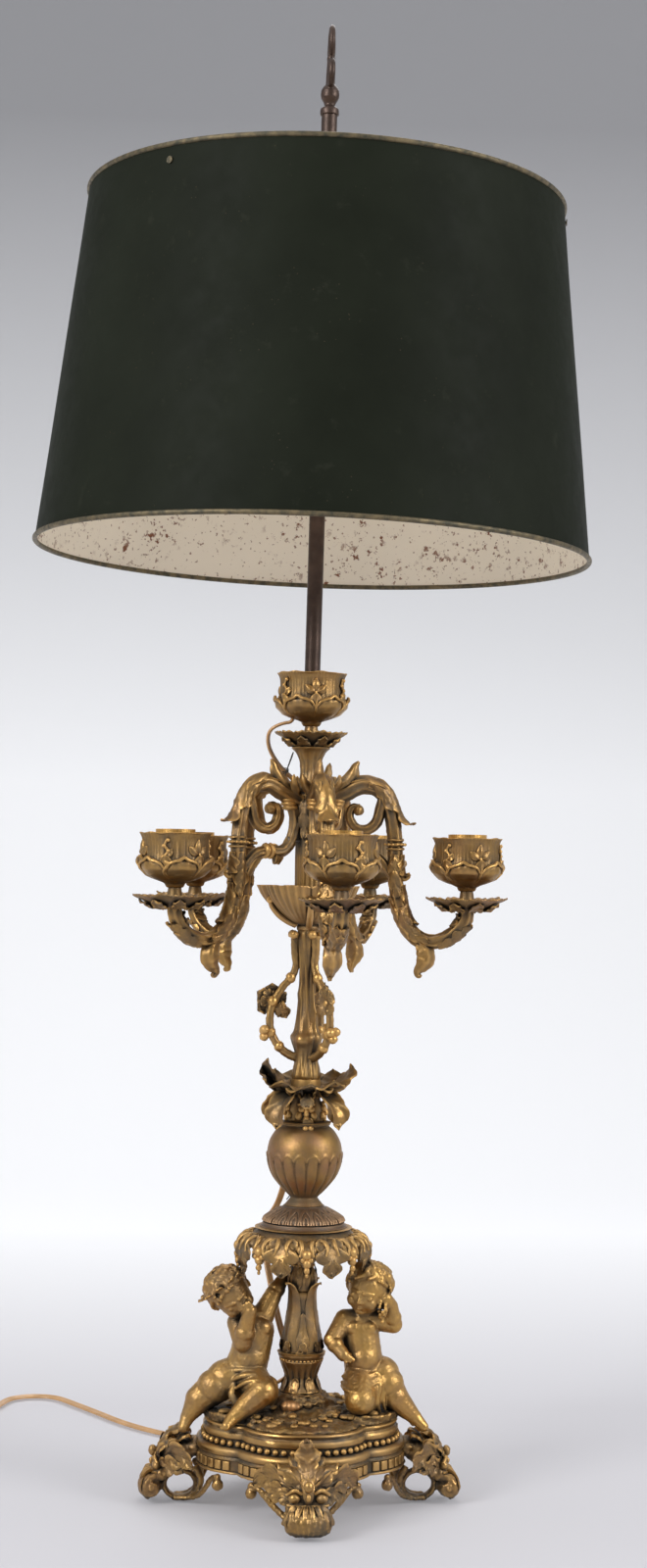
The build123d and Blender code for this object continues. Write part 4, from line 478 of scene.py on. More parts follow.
def lapped(bm, line, start, face, radii):
    """Bend a flat relief (X across, Y along, Z out) round a stem in the XZ plane, from a share of it."""
    steps = len(line) - 1
    total = sum((b - a).length for a, b in zip(line, line[1:]))
    for v in bm.verts:
        x, y, z = v.co
        share = min(1.0, max(0.0, start + y / total))
        k = min(int(share * steps), steps - 1)
        ahead = (line[k + 1] - line[k]).normalized()
        point = line[k].lerp(line[k + 1], share * steps - k) + ahead * (start + y / total - share) * total
        r = graded(radii, share)
        turn = radians(face) + x / r
        v.co = point + (ahead.cross(Y) * cos(turn) + Y * sin(turn)) * (r + z)
    return bm


def outline_radius(outline, low, high):
    """A body's outer radius by height, from the stretch of its outline between two heights."""
    marks = sorted((z, r) for r, z in outline if low <= z <= high)
    return lambda z: graded(marks, z)


def roughened(bm, grain, depth, seed=0.0):
    """Knock a surface about a little, as in old casting."""
    bm.normal_update()
    shift = Vector((seed, seed * 0.7, -seed))
    moves = [(v, v.normal * noise.noise(v.co * grain + shift) * depth) for v in bm.verts]
    for v, move in moves:
        v.co += move
    return bm


def cast(bm, voxel, rounds=3):
    """One skin over shapes that run into each other, as from one mould."""
    mesh = bpy.data.meshes.new("mould")
    bm.to_mesh(mesh)
    bm.free()
    mould = bpy.data.objects.new("mould", mesh)
    bpy.context.scene.collection.objects.link(mould)
    skin = mould.modifiers.new("skin", "REMESH")
    skin.mode = "VOXEL"
    skin.voxel_size = voxel
    smooth = mould.modifiers.new("smooth", "SMOOTH")
    smooth.factor, smooth.iterations = 0.5, rounds
    made = bpy.data.meshes.new_from_object(mould.evaluated_get(bpy.context.evaluated_depsgraph_get()))
    out = bmesh.new()
    out.from_mesh(made)
    bpy.data.objects.remove(mould)
    bpy.data.meshes.remove(mesh)
    bpy.data.meshes.remove(made)
    return out


def node_copy(name):
    """A CAD node's solids as one bmesh in millimetres."""
    bm = bmesh.new()
    bm.from_mesh(frame["nodes"][name].data)
    bmesh.ops.scale(bm, vec=(1 / MM,) * 3, verts=bm.verts)
    bmesh.ops.remove_doubles(bm, verts=bm.verts, dist=0.01)
    return bm


def piece(name, bm, finish, nodes=(), body=STATIC, sharp=None):
    """Write a bmesh as a finished piece on its body, in metres."""
    bmesh.ops.scale(bm, vec=(MM,) * 3, verts=bm.verts)
    bmesh.ops.recalc_face_normals(bm, faces=bm.faces)
    mesh = bpy.data.meshes.new(name)
    bm.to_mesh(mesh)
    bm.free()
    mesh.shade_smooth()
    if sharp:
        mesh.set_sharp_from_angle(angle=radians(sharp))
    obj = bpy.data.objects.new(name, mesh)
    bpy.context.scene.collection.objects.link(obj)
    mesh.materials.append(FINISHES[finish])
    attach(obj, body)
    if nodes:
        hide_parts(*nodes)
    return obj


# Finishes


def scaled(colour, share):
    """A colour made darker or lighter."""
    return tuple(c * share for c in colour)


class Finish:
    """A material under construction, with its nodes."""

    def __init__(self, name):
        self.material = bpy.data.materials.new(name)
        self.material.use_nodes = True
        self.tree = self.material.node_tree
        self.shader = self.tree.nodes["Principled BSDF"]
        self.place = self.tree.nodes.new("ShaderNodeTexCoord").outputs["Object"]

    def node(self, kind, links=None, **values):
        """A node with its sockets set or linked by name."""
        made = self.tree.nodes.new(kind)
        for key, value in values.items():
            if key in made.inputs:
                made.inputs[key].default_value = value
            else:
                setattr(made, key, value)
        for key, source in (links or {}).items():
            self.tree.links.new(source, made.inputs[key])
        return made

    def grain(self, scale, detail=3.0, rough=0.55):
        """Cloudy variation, as many per metre as its scale."""
        return self.node(
            "ShaderNodeTexNoise", {"Vector": self.place}, Scale=scale, Detail=detail, Roughness=rough
        ).outputs["Fac"]

    def spots(self, scale):
        """Distance to scattered points."""
        return self.node("ShaderNodeTexVoronoi", {"Vector": self.place}, Scale=scale).outputs["Distance"]

    def level(self, source, low, high, start=0.0, end=1.0):
        """A source between two levels, stretched to a range."""
        made = self.node("ShaderNodeMapRange", {"Value": source})
        for key, value in (("From Min", low), ("From Max", high), ("To Min", start), ("To Max", end)):
            made.inputs[key].default_value = value
        return made.outputs["Result"]

    def maths(self, kind, a, b):
        """Arithmetic on two sources or numbers."""
        made = self.node("ShaderNodeMath", operation=kind, use_clamp=kind == "ADD")
        for socket, value in zip(made.inputs, (a, b)):
            if isinstance(value, (int, float)):
                socket.default_value = value
            else:
                self.tree.links.new(value, socket)
        return made.outputs["Value"]

    def summed(self, a, share_a, b, share_b):
        """Two sources added by their shares."""
        return self.maths("ADD", self.maths("MULTIPLY", a, share_a), self.maths("MULTIPLY", b, share_b))

    def mixed(self, share, a, b):
        """A colour between two colours."""
        made = self.node("ShaderNodeMix", data_type="RGBA")
        for index, value in ((0, share), (6, a), (7, b)):
            if isinstance(value, bpy.types.NodeSocket):
                self.tree.links.new(value, made.inputs[index])
            else:
                made.inputs[index].default_value = value if index == 0 else (*value[:3], 1)
        return made.outputs[2]

    def recesses(self, depth):
        """How deep a place lies among its neighbours, from 0 to 1."""
        # Ambient occlusion; the gilding turns it into patina and painted shade.
        shade = self.node("ShaderNodeAmbientOcclusion", Distance=depth, samples=6, only_local=False)
        return self.level(shade.outputs["AO"], 0.95, 0.35)

    def bump(self, source, depth, strength=0.5):
        """Fine relief."""
        made = self.node("ShaderNodeBump", {"Height": source}, Strength=strength, Distance=depth)
        self.tree.links.new(made.outputs["Normal"], self.shader.inputs["Normal"])

    def wear(self, sources, **plain):
        """Link what varies and set what does not."""
        for key, source in sources.items():
            self.tree.links.new(source, self.shader.inputs[key])
        for key, value in plain.items():
            self.shader.inputs[key.replace("_", " ")].default_value = value
        return self.material


def gilt(name, gold, copper, patina, reddish=0.5, dirt=1.0, gloss=0.34):
    """Old gilding: bright on edges, brown-black in recesses, grey-green and coppery in patches."""
    finish = Finish(name)
    cloud = finish.grain(38, 4)
    streak = finish.grain(150, 5, 0.65)
    fine = finish.grain(900, 2)
    red = finish.level(finish.grain(24, 3, 0.6), 0.46, 0.64, 0, reddish)
    green = finish.level(finish.grain(17, 3, 0.6), 0.50, 0.66, 0, 0.75 * dirt)
    # Ambient occlusion: sets patina in the hollows, and paints shade into them below.
    deep = finish.recesses(0.009)
    soil = finish.level(finish.summed(cloud, 0.55, streak, 0.45),
                        0.42, 0.60, 0.04, 0.90)
    dull = finish.summed(deep, dirt, soil, 0.55 * dirt)
    dull = finish.maths("MINIMUM", finish.maths("ADD", dull, finish.maths("MULTIPLY", green, 0.4)), 1.0)
    # Pointiness: high edges as rubbed wear, also a painted highlight.
    point = finish.node("ShaderNodeNewGeometry").outputs["Pointiness"]
    edge = finish.level(point, 0.515, 0.60, 0, 0.85)
    # bright is the painted highlight colour for edges, dark the painted shade colour for recesses.
    bright = tuple(min(1.0, c * 1.8) for c in gold)
    dark = scaled(patina, 0.16)
    grey = (patina[0] * 0.95, patina[1] * 1.12, patina[2] * 1.25)
    colour = finish.mixed(red, gold, copper)
    colour = finish.mixed(dull, colour, finish.mixed(green, patina, grey))
    # Painted shade: deep recesses go near black.
    colour = finish.mixed(finish.level(deep, 0.30, 0.95, 0, 0.95), colour, dark)
    # Painted highlight on edges, partly rubbed wear.
    colour = finish.mixed(edge, colour, bright)
    finish.bump(finish.summed(streak, 0.5, fine, 0.5), 0.0006, 0.4)
    return finish.wear(
        {"Base Color": colour, "Metallic": finish.level(dull, 0, 1, 1.0, 0.55),
         "Roughness": finish.level(dull, 0, 1, gloss, gloss + 0.24)}
    )


def plain(name, colour, dark, scale=60, rough=0.4, metal=0.0, depth=0.0002, **more):
    """A plain finish with gentle variation and fine relief."""
    finish = Finish(name)
    cloud = finish.grain(scale, 4, 0.6)
    fine = finish.grain(scale * 20, 2)
    finish.bump(fine, depth, 0.3)
    return finish.wear(
        {"Base Color": finish.mixed(finish.level(cloud, 0.35, 0.65), colour, dark),
         "Roughness": finish.level(cloud, 0.3, 0.7, rough, rough + 0.14)},
        Metallic=metal, **more,
    )


def tole_outside(colour):
    """Old dark green enamel with faint speckles, scuffs and chips."""
    finish = Finish("tole_green")
    cloud = finish.grain(9, 4, 0.6)
    rub = finish.grain(60, 6, 0.7)
    pits = finish.level(finish.spots(210), 0.10, 0.04)
    pits = finish.maths("MULTIPLY", pits, finish.level(finish.grain(30, 2), 0.52, 0.60))
    tone = finish.mixed(finish.level(cloud, 0.35, 0.65), colour, scaled(colour, 0.72))
    tone = finish.mixed(finish.level(rub, 0.60, 0.74, 0, 0.30), tone, (0.040, 0.042, 0.030))
    tone = finish.mixed(finish.maths("MULTIPLY", pits, 0.7), tone, (0.07, 0.055, 0.035))
    finish.bump(finish.summed(rub, 0.6, pits, 0.4), 0.0005, 0.25)
    return finish.wear(
        {"Base Color": tone, "Roughness": finish.level(rub, 0.3, 0.7, 0.46, 0.62)},
        Metallic=0.0, Specular_IOR_Level=0.045,
    )


def tole_inside(colour):
    """Cream paint freckled with rust."""
    finish = Finish("tole_cream")
    spread = finish.grain(14, 4, 0.7)
    flake = finish.grain(135, 4, 0.75)
    rust = finish.maths("MULTIPLY", finish.level(spread, 0.42, 0.54), finish.level(flake, 0.572, 0.612))
    freckle = finish.level(finish.grain(330, 2, 0.5), 0.655, 0.69)
    rust = finish.maths("ADD", rust, finish.maths("MULTIPLY", freckle, 0.8))
    tone = finish.mixed(finish.level(finish.grain(7, 3), 0.3, 0.7), colour, scaled(colour, 0.90))
    tone = finish.mixed(rust, tone, (0.22, 0.085, 0.040))
    finish.bump(rust, 0.0004, 0.3)
    return finish.wear({"Base Color": tone, "Roughness": finish.level(rust, 0, 1, 0.42, 0.8)}, Metallic=0.0)


FINISHES = {}


def make_finishes(colours):
    """All the materials, from the colours in the panel."""
    gold, copper, patina = tuple(colours.gold), tuple(colours.copper), tuple(colours.patina)
    FINISHES.update(
        gilt=gilt("gilt_bronze", gold, copper, patina),
        bright=gilt("gilt_light", (0.56, 0.33, 0.10), copper, scaled(patina, 1.2), 0.45, 0.70, 0.37),
        dark=gilt("gilt_dark", scaled(gold, 0.75), copper, scaled(patina, 0.9), 0.6, 1.15, 0.42),
        copper=gilt("copper_gold", tuple(colours.shell), copper, scaled(patina, 1.1), 0.6, 0.7, 0.38),
        cap=gilt("brown_gilt", (0.25, 0.155, 0.085), copper, (0.115, 0.09, 0.070), 0.4, 0.9, 0.38),
        urn=gilt("urn_gilt", scaled(gold, 0.86), scaled(copper, 1.2), patina, 0.8, 0.85, 0.43),
        pan=gilt("pan_copper", scaled(gold, 0.8), copper, scaled(patina, 1.05), 1.0, 0.9, 0.42),
        stone=gilt("stone_copper", (0.34, 0.19, 0.085), copper, (0.24, 0.14, 0.07), 0.4, 0.5, 0.45),
        rod=plain("brown_tube", (0.095, 0.062, 0.048), (0.055, 0.036, 0.028), 70, 0.34, 0.65),
        rim=plain("worn_rim", (0.20, 0.155, 0.085), (0.07, 0.065, 0.045), 160, 0.46, 0.7),
        lacquer=plain("socket_brass", (0.58, 0.42, 0.16), (0.42, 0.29, 0.10), 90, 0.28, 1.0),
        spider=plain("spider_paint", (0.50, 0.44, 0.32), (0.30, 0.22, 0.13), 120, 0.5),
        steel=plain("plain_steel", (0.42, 0.41, 0.39), (0.24, 0.22, 0.20), 140, 0.38, 1.0),
        knob=plain("knob_brown", (0.030, 0.018, 0.013), (0.018, 0.011, 0.008), 90, 0.25),
        plug=plain("plug_brown", (0.16, 0.085, 0.04), (0.11, 0.06, 0.03), 90, 0.35),
        cord=plain("clear_gold_cord", tuple(colours.cord), scaled(colours.cord, 0.72), 45, 0.26, 0.05, 0.0001,
                   Coat_Weight=0.5, Coat_Roughness=0.12),
        wire=plain("tie_wire", (0.10, 0.095, 0.085), (0.05, 0.045, 0.04), 300, 0.45, 0.8),
        bulb=plain("bulb_glass", (0.90, 0.89, 0.85), (0.84, 0.82, 0.78), 40, 0.18, 0.0, 0.0001,
                   Transmission_Weight=0.25),
        green=tole_outside(tuple(colours.green)),
        cream=tole_inside(tuple(colours.cream)),
    )


# Base


def octofoil_r(angle):
    """The plinth's outline radius: eight lobes with a crease between them."""
    lobe, share = divmod((angle % tau) / (pi / 4), 1)
    first, second = LOBE_ENDS if int(lobe) % 2 == 0 else LOBE_ENDS[::-1]
    chord = first + (second - first) * share
    dip = cos(pi / 8) / cos((share - 0.5) * pi / 4)
    return chord * dip + 4 * LOBE_BULGE * share * (1 - share)


def outline_place(angle, inset, height):
    """A place on the plinth's side, turned to face out of it."""
    step = 0.01
    a, b = (
        Vector((cos(t), sin(t), 0)) * (octofoil_r(t) - inset) for t in (angle - step, angle + step)
    )
    along = (b - a).normalized()
    turn = Matrix((along.cross(Z), along, Z)).transposed().to_4x4()
    return Matrix.Translation((a + b) / 2 + Z * height) @ turn


def make_plinth():
    """Plinth with moulded edge, bead row and panelled frieze."""
    bm = spun(PLINTH_OUTLINE, 128)
    reshaped(bm, lambda angle, r, z: (r if r < 55 else r - PLINTH_R + octofoil_r(angle), z))
    roughened(bm, 0.35, 0.35)
    beads, blocks = [], []
    for lobe in range(8):
        beads += [outline_place((lobe + (k + 0.5) / 9) * pi / 4, 5.2, 49.6) for k in range(9)]
        blocks += [outline_place((lobe + (k + 0.75) / 8) * pi / 4, 1.5, 34.7) for k in range(7)]
    bead = bmesh.new()
    ball(bead, (0, 0, 0), 2.0)
    added(bm, bead, beads)
    block = bmesh.new()
    bmesh.ops.create_cube(block, size=1, matrix=Matrix.Diagonal((2.4, 5.3, 6.2, 1)))
    bmesh.ops.bevel(block, geom=block.edges[:], offset=0.55, segments=2, profile=0.5, affect="EDGES",
                    material=-1)
    added(bm, block, blocks)
    piece("plinth", bm, "gilt", ["base_plinth"], sharp=50)


def foot_shape():
    """A foot along +X: leafy shoulder, open ring, scroll bars with ball drops and a curled shell toe."""
    bm = bmesh.new()
    ball(bm, (93, 0, 31), 10.8, (0.92, 1.30, 1.12), level=3)
    ball(bm, (84, 0, 36), 9.5, (1.0, 1.25, 0.95), level=3)
    ball(bm, (75, 0, 39), 8.5, (1.1, 1.5, 0.85), level=3)
    limb(bm, (99, -9, 21), 5.0, (99, 9, 21), 5.0, 3)
    ball(bm, (106.4, 0, 11.4), 8.2, (1, 1.90, 1.06), level=3)
    ring = [Vector((85.2 + 11.4 * cos(t), 0, 12.0 + 9.8 * sin(t))) for t in once_round(32)]
    swept(bm, ring, ((0, 2.0), (1, 2.0)), section(16), Y, flat=2.4)
    for k in range(9):
        spread = (k - 4) / 4
        path = flowing(((97, 9 * spread, 23), (104, 12.5 * spread, 22.0 - 2.5 * abs(spread)),
                        (112.6 - 3.0 * spread**2, 14.8 * spread, 14.5),
                        (112.4 - 3.6 * spread**2, 12.6 * spread, 7.4),
                        (107.4, 7.5 * spread, 3.2)), 4)
        swept(bm, path, ((0, 1.8), (0.4, 2.2), (0.8, 2.1), (1, 1.2)), section(8))
    for side in (1, -1):
        curl = []
        for k in range(13):
            turn, reach = radians(115 - 36 * k), 7.6 - 0.50 * k
            curl.append((105.6 + reach * cos(turn), side * (10.6 + 0.46 * k), 12.0 + reach * sin(turn)))
        swept(bm, flowing([(94, side * 9.5, 22.5), *curl], 4), ((0, 2.8), (0.3, 2.6), (0.8, 1.9), (1, 1.5)))
        ball(bm, (105.6, side * 16.0, 12.0), 2.2)
        for shift in (-1.5, 1.5):
            bar = [(x - shift * 0.4, side * (y + shift), z + 0.3 * shift) for x, y, z in (
                (90, 4, 2.8), (80, 7, 3.2), (72.6, 14, 6.8), (67.6, 23, 14.6), (64.2, 29.6, 22.0),
                (61.4, 34.6, 25.4), (59.4, 37.2, 25.0))]
            swept(bm, flowing(bar, 5), ((0, 1.8), (0.5, 1.6), (1, 1.4)), section(10))
        limb(bm, (59.4, side * 36.6, 25.6), 2.4, (59.4, side * 36.8, 22.0), 2.4)
        ball(bm, (59.4, side * 36.8, 20.0), 4.2, level=3)
        swept(bm, flowing(((75, side * 10, 27), (70.5, side * 12, 18), (73, side * 11, 8.5),
                           (80, side * 8, 3.2)), 5), ((0, 2.8), (0.5, 2.1), (1, 1.9)), section(10))
    bm = cast(bm, 0.85, 2)
    leaf(bm, ((101, 0, 40), (96, 0, 47.5), (88.5, 0, 53.5), (81, 0, 57.5), (77.5, 0, 60.5), (79.0, 0, 63.0)),
         18, Y, 3, cup=-0.12, thick=2.2, root=0.8)
    for side in (1, -1):
        for spine, width, lobes, across in (
            (((101, 3, 35), (99.0, 8.5, 41), (94.5, 13, 45.5), (89.5, 17.5, 46.5), (89.5, 20.5, 42.5)),
             15, 2, Y),
            (((101, 5, 32), (97.5, 13.5, 36.5), (90, 22.5, 38.5), (81.5, 30.5, 37.0), (77, 35.5, 31.0)),
             19, 3, Z), (((100, 8, 25), (96.5, 16, 29), (90, 23.5, 30.5), (83, 27.5, 27.5)), 14, 3, Z),
            (((88, 5, 44.5), (83.5, 7.5, 49.0), (79.0, 9, 50.0), (77.5, 9.5, 47.0)), 9, 0, Y),
        ):
            leaf(bm, [(x, side * y, z) for x, y, z in spine], width, across, lobes,
                 cup=-0.16 * (side if across is Z else 1), vein=0.08, thick=1.9, root=0.7)
        ball(bm, (102.2, side * 9.4, 27.4), 4.0, (0.8, 1, 0.85), level=3)
        swept(bm, flowing(
            ((102.6, side * 4.4, 30.6), (103.8, side * 9.4, 33.0), (101.4, side * 14.6, 29.6)), 5),
              ((0, 1.1), (0.5, 1.5), (1, 0.9)), section(8))
        swept(bm, flowing(
            ((104.5, side * 1.5, 22.6), (104.6, side * 8.0, 22.0), (102.4, side * 14.2, 23.0)), 5),
              ((0, 0.9), (0.5, 1.3), (1, 0.8)), section(8))
    leaf(bm, ((104.5, 0, 24), (105.8, 0, 28), (105.0, 0, 33), (102.6, 0, 38), (98.6, 0, 43)), 8, Y, 0,
         cup=-0.3, thick=1.8, root=0.5)
    ball(bm, (105.0, 0, 35.6), 3.4, (0.9, 1, 1.15), level=3)
    ball(bm, (106.0, 0, 28.4), 1.9, (0.8, 0.9, 1.3))
    for k in range(5):
        spread = (k - 2) / 2
        leaf(bm, ((102.5, spread * 3, 22.5), (108.4, spread * 8, 21.4),
                  (113.0 - 1.4 * abs(spread), spread * 12, 14.5),
                  (112.6 - 2.4 * abs(spread), spread * 10.5, 8.0)), 8.0, Y, 0, cup=-0.35, vein=0.12,
                  thick=1.5, root=0.5)
    return bm


def make_feet():
    """Four scrolled feet cast with leaves, bosses and a shell toe."""
    for name, angle in FOOT_ANGLES.items():
        bm = added(bmesh.new(), foot_shape(), turns(1, angle))
        roughened(bm, 0.5, 0.4, angle)
        for v in bm.verts:
            v.co.z = max(v.co.z, 0.0)
        piece(f"foot_{name}_carved", bm, "gilt", [f"foot_{name}"], sharp=60)


def make_ground():
    """Lobed rocky ground with stones and tufts, and the flower spray on it."""
    bm = cast(node_copy("ground_mound"), 1.0, 1)
    surface = BVHTree.FromBMesh(bm)
    for v in bm.verts:
        r = hypot(v.co.x, v.co.y)
        if r > 24:
            grow = 1 + (octofoil_r(atan2(v.co.y, v.co.x)) / MOUND_R - 1) * min(1.0, (r - 24) / 20)
            v.co.x, v.co.y = v.co.x * grow, v.co.y * grow
    bm.normal_update()
    for v in bm.verts:
        if v.co.z > PLINTH_TOP + 0.6:
            crag = noise.fractal(v.co * 0.13, 0.8, 2.1, 5) + 0.6 * abs(noise.noise(v.co * 0.35))
            v.co += v.normal * (crag * 1.5 - 0.6)
    random.seed(17)
    for k in range(90):
        turn, r = tau * k / 90 + random.uniform(-0.05, 0.05), random.uniform(28, 58)
        hit = surface.ray_cast(Vector((r * cos(turn), r * sin(turn), 110)), -Z)[0]
        if hit is None or hit.z > 84:
            continue
        if k % 3:
            ball(bm, hit, random.uniform(2.0, 4.2), (1.25, 1, 0.55), Matrix.Rotation(turn, 4, "Z"))
        else:
            tip = hit + Vector((cos(turn) * 5, sin(turn) * 5, 0.6))
            leaf(bm, (hit + Z * 0.5, hit.lerp(tip, 0.5) + Z * 2.2, tip), 6,
                 Vector((-sin(turn), cos(turn), 0)), 2, thick=1.0)
    piece("rocky_ground", roughened(bm, 0.2, 0.7), "dark", ["ground_mound"])
    random.seed(11)
    bm = node_copy("flower_spray")
    for k in range(9):
        x = -7 + 2.6 * k
        low = Vector((x, -20 - 1.5 * (k % 2), 70 + 1.5 * (k % 3)))
        tip = low + Vector((random.uniform(-5, 5), random.uniform(-6, -2), random.uniform(3, 7)))
        leaf(bm, (low, low.lerp(tip, 0.5) + Z * 1.5, tip), 6.5, X, 2, thick=1.0)
    for k in range(5):
        centre = Vector((-2 + 3.4 * k, -22.5 + 1.2 * (k % 2), 75.5 - 1.2 * (k % 3)))
        for petal in range(5):
            ball(bm, centre + Vector((cos(petal * tau / 5), -0.5, sin(petal * tau / 5))) * 1.9, 1.4, level=1)
        ball(bm, centre + Vector((0, -1.2, 0)), 1.2, level=1)
    bm = cast(bm, 0.5, 1)
    piece("flower_spray_carved", bm, "dark", ["flower_spray"])
    stone = bmesh.new()
    limb(stone, (-11.6, -26.0, 72.6), 3.7, (-4.8, -27.0, 72.6), 3.1, 3)
    piece("small_stone", roughened(stone, 0.4, 0.9), "stone")


# Children


def child_head(place, radius, forward, up, leafy):
    """A calm, plain child's head with soft locks, and wreath leaves on one child."""
    bm = bmesh.new()
    for (x, y, z), size, stretch in HEAD_BALLS:
        for mirror in ((1, -1) if x else (1,)):
            ball(bm, (x * mirror, y, z), size, stretch, level=3)
    for (x, y, z), size, (x1, y1, z1), size1 in HEAD_LIMBS:
        for mirror in ((1, -1) if x or x1 else (1,)):
            limb(bm, (x * mirror, y, z), size, (x1 * mirror, y1, z1), size1)
    random.seed(5 if leafy else 8)
    crown, front = Vector((0, 0.34, 0.94)), Vector((0, -0.94, 0.34))

    def hair(turn, fall, rise):
        way = crown * cos(fall) + (front * cos(turn) + X * sin(turn)) * sin(fall)
        return Vector((way.x * 0.94, way.y * 1.04 + 0.08, way.z * 0.97 + 0.12)) * rise

    for layer, count in ((0, 24), (1, 17)):
        for k in range(count):
            turn = tau * (k + 0.5 * layer) / count
            low = radians(70 + 27 * (1 - cos(turn))) * (1.0 if layer == 0 else random.uniform(0.62, 0.95))
            phase = random.uniform(0, tau)
            path = []
            for j in range(8):
                rise = 1.02 + 0.05 * layer + 0.045 * sin(j * 1.9 + phase) + (0.09 if j == 7 else 0)
                sway = 0.20 * sin(j * 1.25 + phase)
                path.append(hair(turn + sway + 0.05 * j, 0.15 + (low - 0.15) * j / 7, rise))
            swept(bm, flowing(path, 3), ((0, 0.09), (0.4, 0.155), (0.8, 0.15), (1, 0.07)), section(8))
    if leafy:
        for k in range(11):
            turn = tau * (k + 0.5) / 11
            root = hair(turn, radians(62 + 14 * (1 - cos(turn))), 1.03)
            lift = (root - Vector((0, 0.08, 0.12)) + crown * 0.35).normalized()
            tip = root + lift * 0.46 + X * random.uniform(-0.12, 0.12)
            leaf(bm, (root, root.lerp(tip, 0.5) + crown * 0.06, tip), 0.44, lift.cross(crown).normalized(), 2,
                 thick=0.09)
    back = -Vector(forward).normalized()
    upright = (Vector(up) - back * back.dot(Vector(up))).normalized()
    turn = Matrix((back.cross(upright), back, upright)).transposed().to_4x4()
    return bm, Matrix.Translation(place) @ turn @ Matrix.Scale(radius, 4)


def child_fingers(bm, hand, r, way, spread):
    """Four short fingers and a thumb from the palm."""
    way, spread = Vector(way).normalized(), Vector(spread).normalized()
    for k in range(4):
        root = hand + spread * (k - 1.5) * r * 0.42 + way * r * 0.5
        limb(bm, root, r * 0.27, root + way * r * 0.85 + spread * (k - 1.5) * 0.25, r * 0.20, 1)
    limb(bm, hand - spread * r * 0.7, r * 0.30, hand - spread * r * 1.1 + way * r * 0.6, r * 0.22, 1)


def child_body(named):
    """Limbs, torso and toes from named places."""
    bm = bmesh.new()
    places = {name: (Vector((x, y, z)), r) for name, (x, y, z, r) in named.items()}
    for first, second in CHILD_LIMBS:
        if second in places:
            (a, a_r), (b, b_r) = places[first], places[second]
            limb(bm, a, a_r, b, b_r * (0.5 if second == "head" else 1), 3)
    sign = 1 if named["hips"][0] > 0 else -1
    for heel, ball_of_foot in (("ankle_out", "toes_out"), ("foot_in", "toes_in")):
        if ball_of_foot not in places:
            continue
        toes = places[ball_of_foot][0]
        way = (toes - places[heel][0]).normalized()
        across = way.cross(Z).normalized()
        ball(bm, places[heel][0] - way * 2.0 - Z * 1.2, places[heel][1] * 0.95)
        for k in range(5):
            root = toes + across * (k - 2) * 1.35 * sign
            ball(bm, root + way * (2.7 - 0.3 * abs(k - 1)), 1.45 - 0.13 * k, (1, 1, 0.9))
    hip, knee = places["hip_out"][0], places["knee_out"][0]
    ball(bm, hip.lerp(knee, 0.45) + Vector((0, -2.2, 1.4)), places["hip_out"][1] * 0.90, level=3)
    ball(bm, knee.lerp(places["ankle_out"][0], 0.42) + Vector((sign * 0.6, 0.6, 1.2)), 6.0, (1, 1, 1.1),
         level=3)
    ball(bm, knee + Vector((sign * 1.0, -4.4, 1.2)), 5.0, level=3)
    knee, knee_r = places["knee_in"]
    ball(bm, knee + Vector((0, -5.2, -1.6)), knee_r * 0.55, level=3)
    chest, chest_r = places["chest"]
    for side in (1, -1):
        ball(bm, chest + Vector((side * 5.0, -6.2, 3.0)), chest_r * 0.50, level=3)
        ball(bm, chest + Vector((side * 5.0, -12.2, 2.4)), 0.9)
        ball(bm, places["hips"][0] + Vector((side * 5.5, 6.5, -1.0)), 8.0, level=3)
    belly, belly_r = places["belly"]
    ball(bm, belly + Vector((0, -2.4, -1.0)), belly_r * 0.93, (1, 1, 1.05), level=3)
    elbow, elbow_r = places["left_elbow"]
    ball(bm, elbow.lerp(places["left_hand"][0], 0.30), elbow_r * 1.05, level=3)
    elbow, elbow_r = places["right_elbow"]
    ball(bm, elbow.lerp(places["right_wrist"][0], 0.35), elbow_r * 1.02, level=3)
    ball(bm, elbow.lerp(places["right_shoulder"][0], 0.45), elbow_r * 1.10, level=3)
    return bm, places


def drapery(bm, rows):
    """Folds of cloth as soft flattened cords laid side by side."""
    for points, size in rows:
        swept(bm, flowing(points, 6), ((0, size * 0.5), (0.3, size), (0.7, size), (1, size * 0.4)), flat=0.8)


def make_child(side, named, leafy, forward, up, hands, folds, seed):
    """A kneeling child with its head, fingers and folds of cloth, cast as one."""
    bm, places = child_body(named)
    skull, place = child_head(*places["head"], forward, up, leafy)
    added(bm, skull, [place])
    for name, size, way, spread in hands:
        hand, r = places[name]
        child_fingers(bm, hand, r * size, way, spread)
    if "grapes" in places:
        random.seed(3)
        for _ in range(30):
            drop = random.uniform(-8.0, 6.0)
            wide = 3.3 * (1 - abs(drop - 0.5) / 9.5)
            turn = random.uniform(0, tau)
            ball(bm, places["grapes"][0] + Vector((cos(turn) * wide, sin(turn) * wide - 0.5, drop)), 1.5,
                 level=1)
    drapery(bm, folds)
    bm = roughened(cast(bm, 0.56, 2), 0.5, 0.16, seed)
    piece(f"child_{side}", bm, "bright", [f"putto_{side}"])


